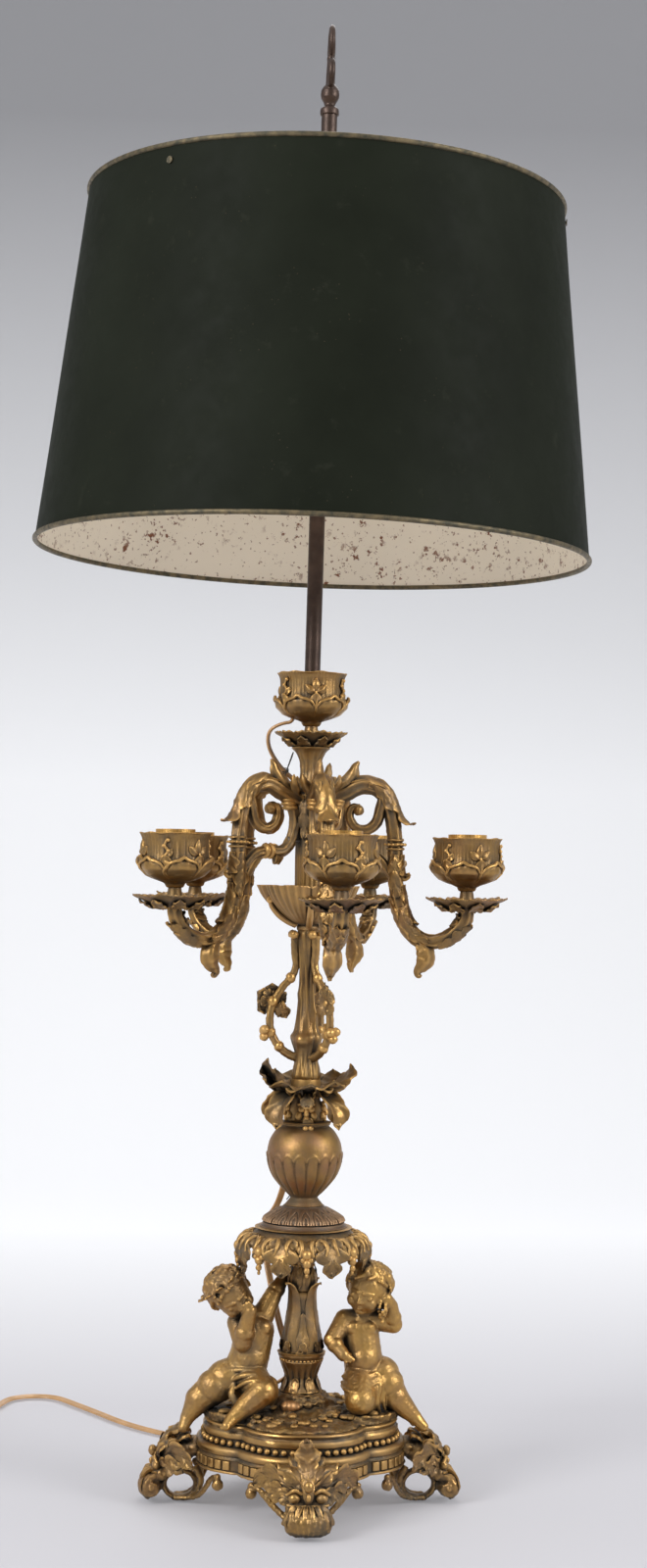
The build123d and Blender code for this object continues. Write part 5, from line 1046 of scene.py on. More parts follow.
def make_children():
    """One child rests its head on a hand and reaches for the vase; the other holds grapes and points."""
    make_child(
        "left", LEFT_CHILD, True, (0.34, -0.87, -0.34), (-0.60, -0.02, 0.78), (
            ("left_hand", 1, (-0.55, -0.35, 0.70), (0.7, -0.3, 0.5)),
            ("right_hand", 1, (0.45, 0.1, 0.9), (0.5, 0.8, 0)),
        ), (
            (((-55, -11, 93), (-46, -16, 96), (-36, -18, 96), (-27, -12, 94)), 2.6),
            (((-50, -17, 89), (-42, -21, 93), (-33, -22, 93.5), (-25, -16, 91)), 3.0),
            (((-47, -20, 84), (-40, -25, 89), (-31, -27, 91), (-23, -22, 89)), 2.6),
            (((-25, -14, 92), (-20.5, -20, 88), (-20, -24, 80), (-22, -22, 72)), 3.0),
            (((-24, -12, 90), (-19, -15, 84), (-19.5, -17, 76)), 2.4),
            (((-48, -18, 87), (-50, -21, 80), (-46, -23, 74), (-44, -21, 69)), 2.8),
            (((-52, 7, 92), (-42, 12, 91), (-31, 8, 93)), 3.4),
            (((-51, 9, 87), (-42, 13, 85), (-32, 9, 88)), 3.0),
        ), 9)
    make_child(
        "right", RIGHT_CHILD, False, (-0.42, -0.88, -0.20), (0.24, 0.05, 0.97), (
            ("right_hand", 1, (-0.62, -0.40, -0.10), (0, -0.35, 1)),
            ("left_hand", 0.9, (0.75, -0.1, -0.3), (0.1, 0.6, 0.8)),
        ), (
            (((31, -9, 95), (37, -17, 93.5), (46, -19, 93), (56, -14, 96)), 2.6),
            (((29, -11, 91), (36, -21, 89.5), (46, -22, 89), (57, -15, 93)), 3.0),
            (((28, -12, 87), (34, -24, 86), (43, -27, 85.5), (54, -20, 89)), 2.6),
            (((28, -14, 85), (31, -25, 84), (38, -32, 83.6), (46, -30, 83)), 2.2),
            (((53, -16, 95), (54, -20, 86), (52, -21, 76), (55, -19, 66)), 3.2),
            (((50, -18, 94), (50, -23, 84), (49.5, -23, 74), (50, -21, 65.5)), 2.6),
            (((56, -14, 95), (57.5, -18, 86), (57, -19, 77), (59, -17, 68)), 2.4),
            (((33, 7, 92), (44, 12, 90), (56, 7, 94)), 3.4),
            (((34, 9, 87), (44, 13, 84), (55, 9, 88)), 3.0),
        ), 4)


# Column


def fluted(bm, count, depth, low, high, sharp=1.0, start=0.0):
    """Upright flutes round a turned body between two heights."""
    def rule(angle, r, z):
        if low < z < high and r > 3.2:
            edge = min(1.0, 3 * min(z - low, high - z) / (high - low))
            r -= depth * edge * (1 - abs(cos(count * (angle - start) / 2)) ** sharp)
        return r, z
    return reshaped(bm, rule)


def bead_ring(bm, count, radius, height, size):
    """A ring of beads."""
    bead = bmesh.new()
    ball(bead, (radius, 0, height), size, level=1)
    added(bm, bead, turns(count))


def make_lower_column():
    """Fluted cup, leaf vase and fluted neck."""
    bm = fluted(spun(softened(FLUTED_CUP_OUTLINE), 96), 16, 1.3, 80, 100.5, 0.7)
    bead_ring(bm, 34, 15.0, 101.6, 1.05)
    leaves(bm, turns(8, 22.5), ((14.6, 0, 79.2), (13.6, 0, 83), (12.0, 0, 87), (12.4, 0, 90)), 6.2, Y,
           thick=0.9, root=1.0)
    piece("fluted_cup", roughened(bm, 0.4, 0.3), "gilt", ["column_cup"], sharp=60)
    bm = fluted(spun(softened(VASE_OUTLINE), 96), 8, 0.9, 109, 147, 0.35, pi / 8)
    for start, wide, spine in (
        (45, 13.5, ((14.3, 0, 109), (14.0, 0, 118), (11.6, 0, 131), (10.4, 0, 141), (11.2, 0, 158.4 - 7),
                    (14.6, 0, 158.4 - 2.4), (17.4, 0, 158.4 - 0.4), (18.0, 0, 158.4 - 1.8))),
        (0, 10.5, ((14.2, 0, 108), (14.1, 0, 115), (12.4, 0, 124), (11.2, 0, 136))),
    ):
        leaves(bm, turns(4, start), spine, wide, Y, cup=-0.30, vein=0.10, thick=1.0, root=0.95, fullness=0.62)
    leaves(bm, turns(8), ((13.9, 0, 107.6), (15.0, 0, 110.4), (15.2, 0, 113.4), (14.2, 0, 115.4)), 7.2, Y, 2,
           thick=0.9)
    piece("leaf_vase_veined", roughened(bm, 0.5, 0.25), "gilt", ["leaf_vase"], sharp=60)
    bm = fluted(spun(softened(NECK_OUTLINE), 84), 12, 1.0, 150.5, 165.5, 0.7)
    leaves(bm, turns(8), ((8.4, 0, 171), (9.6, 0, 174), (9.6, 0, 178), (8.6, 0, 182.5)), 5.6, Y, thick=1.0,
           root=0.6)
    leaves(bm, turns(6, 15), ((8.6, 0, 168.5), (10.2, 0, 164), (10.8, 0, 159), (9.6, 0, 153.5)), 4.8, Y, 2,
           thick=1.0)
    bead_ring(bm, 20, 8.1, 168.3, 0.9)
    piece("fluted_neck", roughened(bm, 0.5, 0.25), "gilt", ["vase_neck"], sharp=60)


def make_skirt():
    """Drip skirt: a smooth disc with a ring of hanging veined leaves and berry drops."""
    bm = spun(softened(SKIRT_OUTLINE), 96)
    leaves(bm, turns(8, 22.5), (
        (33.6, 0, 191.4), (38.6, 0, 191.6), (43.6, 0, 189.0), (47.2, 0, 183.6), (48.4, 0, 176.6),
        (46.8, 0, 170.6), (47.8, 0, 166.6)), 27, Y, 3, 0.46, 0.10, 0.07, 1.3, 0.55, 0.80)
    leaves(bm, turns(8), (
        (36, 0, 190.6), (41.0, 0, 190.2), (45.6, 0, 186.8), (47.8, 0, 181.0), (46.6, 0, 176.0),
        (48.2, 0, 173.6)), 15, Y, 2, 0.40, 0.16, 0.07, 1.2, 0.7)
    drop = bmesh.new()
    ball(drop, (46.8, 0, 182.0), 3.6, (0.8, 1, 1))
    ball(drop, (46.8, 0, 176.2), 2.9, (0.9, 1, 1.1))
    for side in (1, -1):
        ball(drop, (46.6, side * 2.8, 178.6), 2.0)
    ball(drop, (46.6, 0, 171.2), 2.1, (1, 1, 1.25))
    ball(drop, (46.4, 0, 167.8), 1.2, (1, 1, 1.4))
    added(bm, drop, turns(8))
    curl = bmesh.new()
    for side in (1, -1):
        swept(curl, flowing(((36.4, side * 1.5, 190.4), (41.4, side * 4.2, 190.2), (45.6, side * 5.6, 186.2),
                             (47.4, side * 4.4, 181.0)), 5), ((0, 1.2), (0.5, 1.7), (1, 0.8)), section(8))
    added(bm, curl, turns(16, 11.25))
    piece("leafy_skirt", roughened(bm, 0.4, 0.3), "gilt", ["drip_skirt"], sharp=60)


def make_cap_and_urn():
    """Canopy cap with a band of lotus arches, and the urn with its gadroons."""
    bm = spun(softened(CAP_OUTLINE), 96)
    radius_at = outline_radius(CAP_OUTLINE, 199, 210.8)
    for count, wide, start, low, high, thick in (
        (20, 3.6, 0, 200.2, 208.8, 0.75), (20, 1.6, 0, 200.2, 206.0, 0.80), (20, 0.9, 9, 200.2, 203.6, 0.6),
    ):
        arch = bmesh.new()
        line = flowing(((-wide, 0, 0), (-wide * 0.9, (high - low) * 0.6, 0), (0, high - low, 0),
                        (wide * 0.9, (high - low) * 0.6, 0), (wide, 0, 0)), 5)
        swept(arch, line, ((0, thick), (1, thick)), section(8))
        bmesh.ops.translate(arch, vec=(0, 0, 0.55), verts=arch.verts)
        wrapped(arch, 0, low, radius_at)
        added(bm, arch, turns(count, start))
    piece("lotus_cap", bm, "cap", ["canopy_cap"], sharp=60)
    bm = spun(softened(URN_OUTLINE, 9), 288)

    def gadroons(angle, r, z):
        if 217.0 < z < 251.0 and r > 5:
            swell = abs(cos(9 * angle))
            top = 242.0 + 6.4 * swell**0.6
            fade = min(1.0, max(0.0, (top - z) / 0.8)) * min(1.0, (z - 217.0) / 6)
            r += fade * (0.10 - 1.7 * (1 - swell) ** 2.0) + 0.75 * max(0.0, 1 - abs(z - top) / 1.1)
        return r, z

    reshaped(bm, gadroons)
    piece("gadrooned_urn", bm, "urn", ["urn"])


def make_whorl():
    """Masked neck with four broad drooping leaves and a leafy pendant."""
    bm = spun(softened(((BORE_R, 270.96), (12.0, 270.96), (12.5, 275), (12.5, 281), (10.8, 286), (10.8, 290),
                        (12, 292.9), (BORE_R, 292.96))), 64)
    for start, wide, reach in ((45, 22, 0.0), (135, 21, 1.0), (225, 22, -0.8), (315, 21, 0.5)):
        leaves(bm, turns(1, start), (
            (9, 0, 290.4), (15.5, 0, 291.8), (22.5, 0, 288.6), (27.6 + reach, 0, 282.0),
            (30.4 + reach, 0, 275.6), (30.0 + reach, 0, 270.6), (31.6 + reach, 0, 268.0)),
            wide, Y, 2, 0.26, -0.34, 0.10, 1.5, 0.5, 0.9)
    leaves(bm, turns(4), ((9, 0, 291.6), (15, 0, 293.2), (20, 0, 289), (22.4, 0, 283.6), (24.4, 0, 283)),
           13, Y, 2, thick=1.2)
    mask = bmesh.new()
    for side in (1, -1):
        ball(mask, (12.6, side * 3.2, 280.4), 2.5)
        ball(mask, (11.6, side * 5.2, 275.4), 2.6, (0.8, 1, 1.2))
        limb(mask, (13.2, side * 0.8, 284.4), 1.2, (12.2, side * 5.4, 283.6), 0.9, 1)
    limb(mask, (13.4, 0, 282), 1.3, (14.8, 0, 276.6), 1.9)
    limb(mask, (13.2, 0, 273.6), 2.2, (13.6, 0, 272.2), 1.6)
    added(bm, mask, turns(4))
    pendant = bmesh.new()
    leaf(pendant, ((13, 0, 276), (16.4, 0, 271.6), (17.8, 0, 265.6), (17.2, 0, 260.6)), 8.5, Y, 2, thick=1.6)
    for side in (1, -1):
        ball(pendant, (17.6, side * 2.0, 267.2), 2.0)
    ball(pendant, (18.4, 0, 262.6), 1.9)
    added(bm, pendant, turns(1, -86))
    piece("drooping_whorl", roughened(bm, 0.4, 0.35), "gilt", ["leaf_whorl"], sharp=60)


def make_leaf_cup():
    """Upturned veined leaves under the trunk."""
    bm = spun(((BORE_R, 292.96), (10, 292.96), (10.6, 297), (10, 300.9), (BORE_R, 300.96)), 48)
    for angle, wide, far, rise in (
        (176, 32, 31, 15.5), (196, 25, 29, 20), (10, 32, 33.5, 15.5), (-86, 36, 27, 3.5), (-48, 30, 29, 5.5),
        (-130, 30, 28, 5.5), (90, 36, 30, 12), (46, 31, 31, 10), (134, 31, 31, 10),
    ):
        leaves(bm, turns(1, angle), (
            (8, 0, 294.2), (14, 0, 294.6), (0.70 * far, 0, 295.4 + 0.18 * rise),
            (0.90 * far, 0, 296 + 0.55 * rise), (far, 0, 296 + rise)),
            wide, Y, 2, 0.15, 0.16, 0.05, 1.3, 0.7, 1.3)
    piece("upturned_leaves", roughened(bm, 0.35, 0.5), "dark", ["leaf_cup"], sharp=60)


def make_trunk():
    """Bark trunk with knots, and three vine loops with leaves and berries."""
    bm = spun(softened(TRUNK_OUTLINE, 4), 72)

    def bark(angle, r, z):
        if 301 < z < 406.6 and r > 4:
            way = Vector((cos(angle) * 2.2, sin(angle) * 2.2, z * 0.028))
            r += 1.3 * noise.fractal(way, 0.7, 2.1, 4) + 0.35 * sin(9 * angle + z * 0.08)
            for knot_z, knot_a in ((328, -1.9), (348, -0.7), (362, -2.6), (318, 0.6), (340, 2.2)):
                apart = ((angle - knot_a + pi) % tau - pi) * 8
                r += 1.8 * exp(-(apart**2 + (z - knot_z) ** 2) / 9)
        return max(r, 4.2) if r > 4 else r, z

    reshaped(bm, bark)
    piece("bark_trunk", bm, "gilt", ["trunk_stem"])
    bm = bmesh.new()
    for number, angle in enumerate(VINE_ANGLES):
        vine = bmesh.new()
        line = flowing([(r, 0, z) for r, z in VINE_POINTS], 7)
        swept(vine, line, ((0, 3.6), (0.1, 3.0), (0.35, 2.8), (0.62, 2.9), (0.85, 3.1), (1, 3.6)),
              section(14, 0.14, 3))
        for r, z in ((12, 373), (24.6, 356), (25.6, 334), (19.6, 324)):
            ball(vine, (r, 0, z), 3.8, (1, 1, 1.1))
        random.seed(20 + number)
        for tilt, wide in ((-0.6, 13), (0.5, 13), (1.6, 13), (2.7, 13), (3.9, 12)):
            root = Vector((25, -2.4, 357))
            tip = root + Vector((cos(tilt) * 12.0, -1.5, sin(tilt) * 12.0))
            leaf(vine, (root, root.lerp(tip, 0.5) - Y * 1.4, tip), wide, (tip - root).cross(Y).normalized(),
                 2, 0.34, 0.12, 0.06, 1.5, 0.8)
        for aside, up in ((2.4, 336), (-2.4, 335.4), (0, 331)):
            ball(vine, (30.4, aside, up), 3.5)
        for side in (1, -1):
            ball(vine, (10.6, side * 4.2, 404.0), 3.2)
        if number == 0:
            leaf(vine, ((23, 0, 352), (16.5, -1, 349.5), (14, -1.5, 345)), 12, Z, 2)
        added(bm, vine, turns(1, angle))
    piece("vines", roughened(bm, 0.5, 0.5), "gilt", ["vine_loops"], sharp=60)


def make_shell_dish():
    """Dish of five ribbed shells on a small abacus, with volute balls beneath."""
    outline = ((BORE_R, 406.96), (7.5, 406.96), (8.2, 409.4), (7.6, 411.4), (12.0, 412.4), (23.2, 419.8),
               (32.6, 429.4), (36.6, 436.6), (37.4, 438.6), (35.6, 438.4), (30.0, 430.6), (21.8, 422.0),
               (12.6, 415.9), (BORE_R, 415.96))
    bm = spun(softened(outline), 160)

    def shells(angle, r, z):
        if r > 11:
            share = (angle * 180 / pi + 18) % 72 / 72
            arch = abs(sin(pi * share)) ** 0.45
            grow = (r - 11) / 27
            ribs = abs(cos(pi * share * 8))
            r = r * (1 - 0.24 * grow * (1 - arch)) + 1.7 * grow * (ribs - 0.6)
            z += 3.0 * grow * (arch - 0.6)
        return min(r, DISH_R), min(z, DISH_TOP)

    reshaped(bm, shells)
    strap = bmesh.new()
    swept(strap, flowing(((9.5, 0, 410.6), (15.5, 0, 413.2), (22.0, 0, 417.6), (27.5, 0, 423.6),
                          (29.0, 0, 428.0)), 5), ((0, 2.4), (0.5, 2.6), (1, 1.8)), section(12, 0.1, 3), Y)
    ball(strap, (29.2, 0, 428.6), 2.8)
    added(bm, strap, turns(5, -18))
    piece("scallop_dish", bm, "copper", ["shell_dish"])


def make_hub():
    """Fluted hub with bosses and leaves, and its trumpet crown."""
    bm = fluted(spun(softened(HUB_OUTLINE), 80), 12, 1.1, 417, 499, 0.8)
    boss = bmesh.new()
    ball(boss, (11.6, 0, 505.4), 2.7)
    added(bm, boss, turns(6, 20))
    leaves(bm, [Matrix.Rotation(radians(angle + 36), 4, "Z") for angle in ARM_ANGLES], (
        (10.6, 0, 501.5), (13.4, 0, 497), (13.6, 0, 488), (12.4, 0, 478), (13.8, 0, 472)), 9.5, Y, 3,
        thick=1.3)
    lock = bmesh.new()
    for k in range(7):
        aside = (k - 3) * 1.9
        swept(lock, flowing(((11.6, aside * 0.4, 511), (15.4, aside * 0.6, 507), (16.6, aside * 0.75, 500),
                             (15.0, aside * 0.9, 491 + abs(k - 3) * 1.5)), 5),
                             ((0, 0.9), (0.4, 1.4), (0.8, 1.2), (1, 0.5)))
    for side in (-1, 1):
        ball(lock, (16.4, side * 2.4, 503.4), 1.7)
    added(bm, lock, turns(1, -66))
    piece("fluted_hub", roughened(bm, 0.4, 0.3), "gilt", ["arm_hub"], sharp=60)
    bm = fluted(spun(softened(CROWN_OUTLINE), 84), 12, 1.2, 512.5, 537.2, 0.75)
    piece("trumpet_crown", roughened(bm, 0.4, 0.25), "gilt", ["hub_crown"], sharp=60)


# Lights


def arm_shape():
    """One leafy grooved arm along +X, from the hub to its pan."""
    bm = bmesh.new()
    stem = even(arm_line(ARM_SHARES, 5), 96)
    radii = ((0, 6.2), (0.12, 6.0), (0.3, 5.6), (0.6, 5.4), (0.8, 5.3), (1, 5.8))
    swept(bm, stem, radii, GROOVED, Y)
    volute = arm_line(VOLUTE_SHARES, 7)
    swept(bm, volute, ((0, 4.4), (0.3, 4.0), (0.8, 3.0), (1, 2.4)), GROOVED, Y)
    ball(bm, volute[-1] + Vector((-1.2, 0, -2.2)), 4.0, (1, 1.1, 1), level=3)
    swept(bm, arm_line(STRUT_SHARES, 6), ((0, 4.6), (0.15, 4.2), (0.6, 4.0), (1, 3.2)), GROOVED, Y)
    for out, up, size in ((0.175, -0.028, 5.6), (0.165, -0.052, 5.8), (0.155, -0.076, 5.6),
                          (0.30, -0.352, 5.8), (0.335, -0.352, 5.8)):
        ball(bm, arm_point(out, up), size, (1, 1.05, 0.42) if up > -0.1 else (0.42, 1.05, 1))
    for out, up, size in ((0.543, -0.272, 6.6), (0.544, -0.300, 7.4), (0.545, -0.328, 6.6)):
        ball(bm, arm_point(out, up), size, (1, 1, 0.26), level=3)
    bead = bmesh.new()
    ball(bead, (7.2, 0, 0), 1.1, level=1)
    added(bm, bead, [Matrix.Translation(arm_point(0.544, -0.300)) @ turn for turn in turns(14)])
    for start, faces, width, lobes, spine in ARM_LEAVES:
        for face in faces:
            blade = bmesh.new()
            leaf(blade, [(0, y, z) for y, z in spine], width, X, lobes, cup=-0.04, vein=0.07, thick=1.4,
                 root=0.7)
            added(bm, lapped(blade, stem, start, face, radii), [Matrix()])
    horn = arm_line((
        (0.130, -0.010), (0.180, 0.040), (0.232, 0.088), (0.268, 0.140), (0.284, 0.190), (0.306, 0.222)), 5)
    swept(bm, horn, ((0, 4.2), (0.35, 5.6), (0.65, 4.4), (0.88, 2.2), (1, 0.8)), section(16, 0.2, 4), Y,
          flat=0.8)
    for side in (1, -1):
        small = arm_line((
            (0.120, 0.000, side * 2.0), (0.150, 0.050, side * 5.5), (0.180, 0.085, side * 8.6),
            (0.190, 0.130, side * 10.2)), 5)
        swept(bm, small, ((0, 3.0), (0.4, 3.8), (0.75, 2.6), (1, 0.7)), section(12, 0.2, 4), Y)
    curl = arm_line(((0.575, -0.490), (0.605, -0.515), (0.628, -0.500), (0.622, -0.478)), 4)
    swept(bm, curl, ((0, 2.6), (0.5, 2.0), (1, 1.7)), section(10), Y)
    tail = arm_line((
        (0.690, -0.885), (0.728, -0.950), (0.745, -1.005), (0.728, -1.055), (0.700, -1.092), (0.694, -1.120),
        (0.710, -1.130), (0.722, -1.118)), 6)
    swept(bm, tail, ((0, 3.6), (0.2, 7.0), (0.36, 7.2), (0.54, 4.0), (0.74, 2.1), (1, 1.3)), LEAFY, Y)
    drop = arm_line(((0.262, -0.36), (0.258, -0.395), (0.266, -0.435)), 4)
    swept(bm, drop, ((0, 2.2), (0.5, 3.4), (1, 1.2)), LEAFY, Y)
    return bm


def make_arms():
    """Five arms, alike but for a little unevenness."""
    for number, angle in enumerate(ARM_ANGLES, 1):
        bm = added(bmesh.new(), arm_shape(), turns(1, angle))
        roughened(bm, 0.3, 0.5, number * 3.0)
        piece(f"arm_{number}_leafy", bm, "gilt", [f"arm_{number}"], sharp=60)


def pan_shape(radius, height, low):
    """A thin scalloped pan with ribs and a petalled underside."""
    bm = spun([(r * radius, low + z * height) for r, z in softened(PAN_OUTLINE)], 150)

    def scallops(angle, r, z):
        grow = max(0.0, (r / radius - 0.42) / 0.58)
        wave = abs(cos(5 * angle))
        ribs = cos(30 * angle)
        frill = noise.noise(Vector((cos(angle) * 2.4, sin(angle) * 2.4, low)))
        r = r * (1 - 0.14 * grow * (1 - wave**0.5)) + 0.45 * grow * ribs
        return min(r, radius), z + grow * (0.8 * wave + 0.40 * ribs - 0.6 + 0.9 * frill)

    reshaped(bm, scallops)
    under = [(r * radius, 0, low + z * height) for r, z in ((0.34, -0.06), (0.50, 0.08), (0.68, 0.34),
                                                            (0.86, 0.62))]
    return leaves(bm, turns(8, 22.5), under, radius * 0.40, Y, 2, 0.3, 0.2, 0.06, 1.0, 0.6)


def cup_shape(low):
    """A candle cup: combed wall, six bold petals with wavy turned-out edges, sprigs and curling stems."""
    outline = [(r, low + z) for r, z in BOWL_OUTLINE]
    bm = spun(outline[:4] + softened(outline[4:14], 3) + outline[14:], 168)

    def combed(angle, r, z):
        if z > low + 13 and r > 22:
            r += 0.26 * sin(60 * angle) + 0.45 * noise.noise(Vector((cos(angle) * 9, sin(angle) * 9,
                                                                     z * 0.03)))
            if z > low + 33:
                z -= 0.6 + 0.9 * noise.noise(Vector((cos(angle) * 3, sin(angle) * 3, low)))
        return min(r, CUP_R), z

    reshaped(bm, combed)
    radius_at = outline_radius(outline[4:12], low, low + 26)
    petal = bmesh.new()
    ball(petal, (0, 8.0, 0.2), 1, (10.8, 8.6, 2.6), level=4)
    ball(petal, (0, 2.6, 0.4), 1, (8.6, 6.4, 2.7), level=3)
    for v in petal.verts:
        v.co.z += 0.55 * abs(sin(v.co.x * 0.62)) * max(0.0, v.co.y - 7) * 0.22
    lip = flowing(((-11.4, 8.0, 1.6), (-9.4, 12.2, 2.6), (-6.0, 14.2, 2.9), (-3.0, 15.0, 3.4), (0, 16.8, 3.5),
                   (3.0, 15.0, 3.4), (6.0, 14.2, 2.9), (9.4, 12.2, 2.6), (11.4, 8.0, 1.6)), 5)
    swept(petal, lip, ((0, 0.6), (0.2, 1.05), (0.5, 1.2), (0.8, 1.05), (1, 0.6)), section(8), Z)
    wrapped(petal, 0, low, radius_at)
    added(bm, petal, turns(6))
    spike = bmesh.new()
    leaf(spike, ((0, 6, 1.0), (0, 11, 1.7), (0, 15.5, 2.4), (0, 18.6, 3.4)), 8.5, X, 0, cup=-0.3, vein=0.1,
         thick=1.2, root=0.9)
    wrapped(spike, 30, low, radius_at)
    added(bm, spike, turns(6))
    sprig = bmesh.new()
    swept(sprig, flowing(((0, 2, 1.2), (0.3, 10, 1.6), (0, 20, 1.0)), 4), ((0, 1.1), (1, 0.75)), section(8))
    for tip, bend in (((0, 29.4), (0, 24.4)), ((7.4, 24.6), (3.6, 20.6)), ((-7.4, 24.6), (-3.6, 20.6))):
        way = Vector((*tip, 0)) - Vector((0, 18.6, 0))
        leaf(sprig, ((0, 18.6, 0.8), (*bend, 2.0), (*tip, 0.9)), 5.4, way.cross(Z).normalized(), 0, cup=-0.35,
             vein=0.12, thick=1.2)
    wrapped(sprig, 30, low, radius_at)
    added(bm, sprig, turns(3))
    stem = bmesh.new()
    swept(stem, flowing(((0.6, 1.5, 1.0), (-1.2, 7, 1.8), (1.5, 12, 1.5), (-1.0, 17, 1.2), (1.5, 21, 1.0),
                         (-0.8, 25, 0.9), (0.8, 29.5, 0.6)), 5), ((0, 1.3), (0.5, 1.1), (1, 0.8)), section(8))
    for x, y in ((1.6, 21.4), (-1.4, 24.8), (1.4, 28.6), (-1.8, 17.4), (2.2, 13.0)):
        ball(stem, (x, y, 1.2), 1.5, level=1)
    leaf(stem, ((0, 17.5, 1), (2.6, 19.5, 1.8), (4.0, 23, 1.4)), 3.4, Y, 0, thick=1.0)
    wrapped(stem, 90, low, radius_at)
    added(bm, stem, turns(3))
    return bm


def make_pans_and_cups():
    """Scalloped pans and petalled cups on the arms and on the column."""
    pans = bmesh.new()
    for number, angle in enumerate(ARM_ANGLES, 1):
        turn = Matrix.Rotation(radians(angle), 4, "Z") @ Matrix.Translation((ARM_REACH, 0, 0))
        added(pans, pan_shape(29, 8.5, PAN_LOW), [turn])
        spin = Matrix.Rotation(radians(24 * number), 4, "Z")
        bm = added(bmesh.new(), cup_shape(BOWL_LOW), [turn @ spin])
        piece(f"cup_{number}", bm, "gilt", [f"candle_cup_{number}"], sharp=60)
    piece("scalloped_pans", roughened(pans, 0.25, 0.5), "pan", ["drip_pans"], sharp=60)
    piece("top_pan", roughened(pan_shape(26, 9.5, TOP_PAN_LOW), 0.25, 0.5), "pan", ["top_drip_pan"], sharp=60)
    bm = added(bmesh.new(), cup_shape(TOP_BOWL_LOW), turns(1, 4))
    piece("cup_top", bm, "gilt", ["candle_cup_top"], sharp=60)


# Lamp fittings


def make_shade(sizes):
    """Cone of thin sheet, a little uneven, green outside and cream inside."""
    top, bottom = sizes.shade_top / MM, sizes.shade_bottom / MM
    low, high = SHADE_LOW, SHADE_HIGH
    outline = [(bottom + (top - bottom) * k / 24, low + (high - low) * k / 24) for k in range(25)]
    outline += [(r - SHEET_THICKNESS, z) for r, z in reversed(outline)]
    bm = spun(outline, 180)

    def uneven(angle, r, z):
        inner = min(1.0, 4 * min(z - low, high - z) / (high - low) + 0.05)
        dent = noise.noise(Vector((cos(angle) * 1.5, sin(angle) * 1.5, z * 0.008)))
        return r - 0.7 * inner * (0.4 + dent), z

    reshaped(bm, uneven)
    for v in bm.verts:
        v.co = hung(*v.co)
    obj = piece("shade_sheet", bm, "green", ["shade_shell"], "shade", 40)
    obj.data.materials.append(FINISHES["cream"])
    axis = hung(0, 0, 900) - hung(0, 0, 700)
    for face in obj.data.polygons:
        centre = face.center / MM
        out = centre - hung(0, 0, centre.z)
        outward = out - axis * out.dot(axis) / axis.length_squared
        face.material_index = 1 if face.normal.dot(outward) < 0 else 0


def make_finial():
    """Loop handle: ring over two scrolls, on a turned foot."""
    base = spun(softened(((0, 986.1), (3.6, 986.1), (3.6, 989.1), (6.5, 989.1), (6.7, 990.4), (6.5, 993.6),
                          (4.3, 995.4), (3.9, 996.6), (4.6, 998.4), (6.4, 1001.6), (6.4, 1006.6), (4.4, 1010),
                          (2.9, 1011.4), (0, 1012.2)), 2), 48)
    ring = [Vector((0, sin(t) * 9.0, 1042.5 - cos(t) * 9.0)) for t in once_round(40)]
    swept(base, ring, ((0, 3.0), (0.25, 2.2), (0.5, 2.0), (0.75, 2.2), (1, 3.0)), ROUND, X)
    for side in (1, -1):
        line = flowing([(0, side * y, z) for y, z in (
            (0.4, 1008), (3.2, 1010), (9.2, 1010.6), (13.6, 1015.6), (13.2, 1022), (8.4, 1025.8),
            (3.4, 1023.4), (3.0, 1018.6), (6.4, 1016.6))], 6)
        swept(base, line, ((0, 2.6), (0.5, 2.5), (0.85, 2.0), (1, 1.6)), ROUND, X)
        ball(base, line[-1], 2.5)
    limb(base, (0, 0, 1008), 3.4, (0, 0, 1033), 2.7)
    ball(base, (0, 0, 1029.5), 4.0, (0.8, 1, 0.7))
    bm = cast(base, 0.45, 2)
    for v in bm.verts:
        v.co = leaned(*v.co)
    piece("loop_handle", bm, "rod", ["finial_handle"], "finial")


def cord_points():
    """Route of the cord: down the lamp, over the floor, round the coil and to the plug."""
    points = [Vector(point) for point in RISER_POINTS] + [Vector((x, y, CORD_Z)) for x, y in FLOOR_POINTS]
    x, y = COIL_CENTRE[0] + COIL_OUTER_R, COIL_CENTRE[1]
    height = CORD_Z
    for k in range(COIL_HALVES):
        middle = COIL_HALVES // 2
        radius = COIL_OUTER_R - COIL_PITCH / 2 * (k if k <= middle else COIL_HALVES - k)
        side = -1 if k % 2 == 0 else 1
        centre = x + side * radius
        outer = radius / cos(pi / COIL_STEPS / 2)
        for j in range(COIL_STEPS):
            share = (j + 0.5) / COIL_STEPS
            turn = -pi * share if side < 0 else pi - pi * share
            rise = COIL_PITCH * share if k == middle else 0.0
            points.append(Vector((centre + outer * cos(turn), y + outer * sin(turn), height + rise)))
        x += side * 2 * radius
        height += COIL_PITCH if k == middle else 0.0
    drop = y - TAIL_RUN
    points.append(Vector((x, y - TAIL_RUN / 2, height)))
    points.append(Vector((x, drop, height)))
    points.append(Vector((x + TAIL_SIDE, drop - 27, PLUG_AXIS_Z)))
    points.append(Vector((x + TAIL_SIDE, drop - 54, PLUG_AXIS_Z)))
    return points


def cord_line(points):
    """The route's smooth line."""
    curve = bpy.data.curves.new("route", "CURVE")
    curve.dimensions = "3D"
    spline = curve.splines.new("NURBS")
    spline.points.add(len(points) - 1)
    for place, point in zip(spline.points, points):
        place.co = (*point, 1)
    spline.order_u = 3
    spline.use_endpoint_u = True
    spline.resolution_u = 6
    holder = bpy.data.objects.new("route", curve)
    mesh = bpy.data.meshes.new_from_object(holder)
    line = [v.co.copy() for v in mesh.vertices]
    bpy.data.objects.remove(holder)
    bpy.data.curves.remove(curve)
    bpy.data.meshes.remove(mesh)
    return line


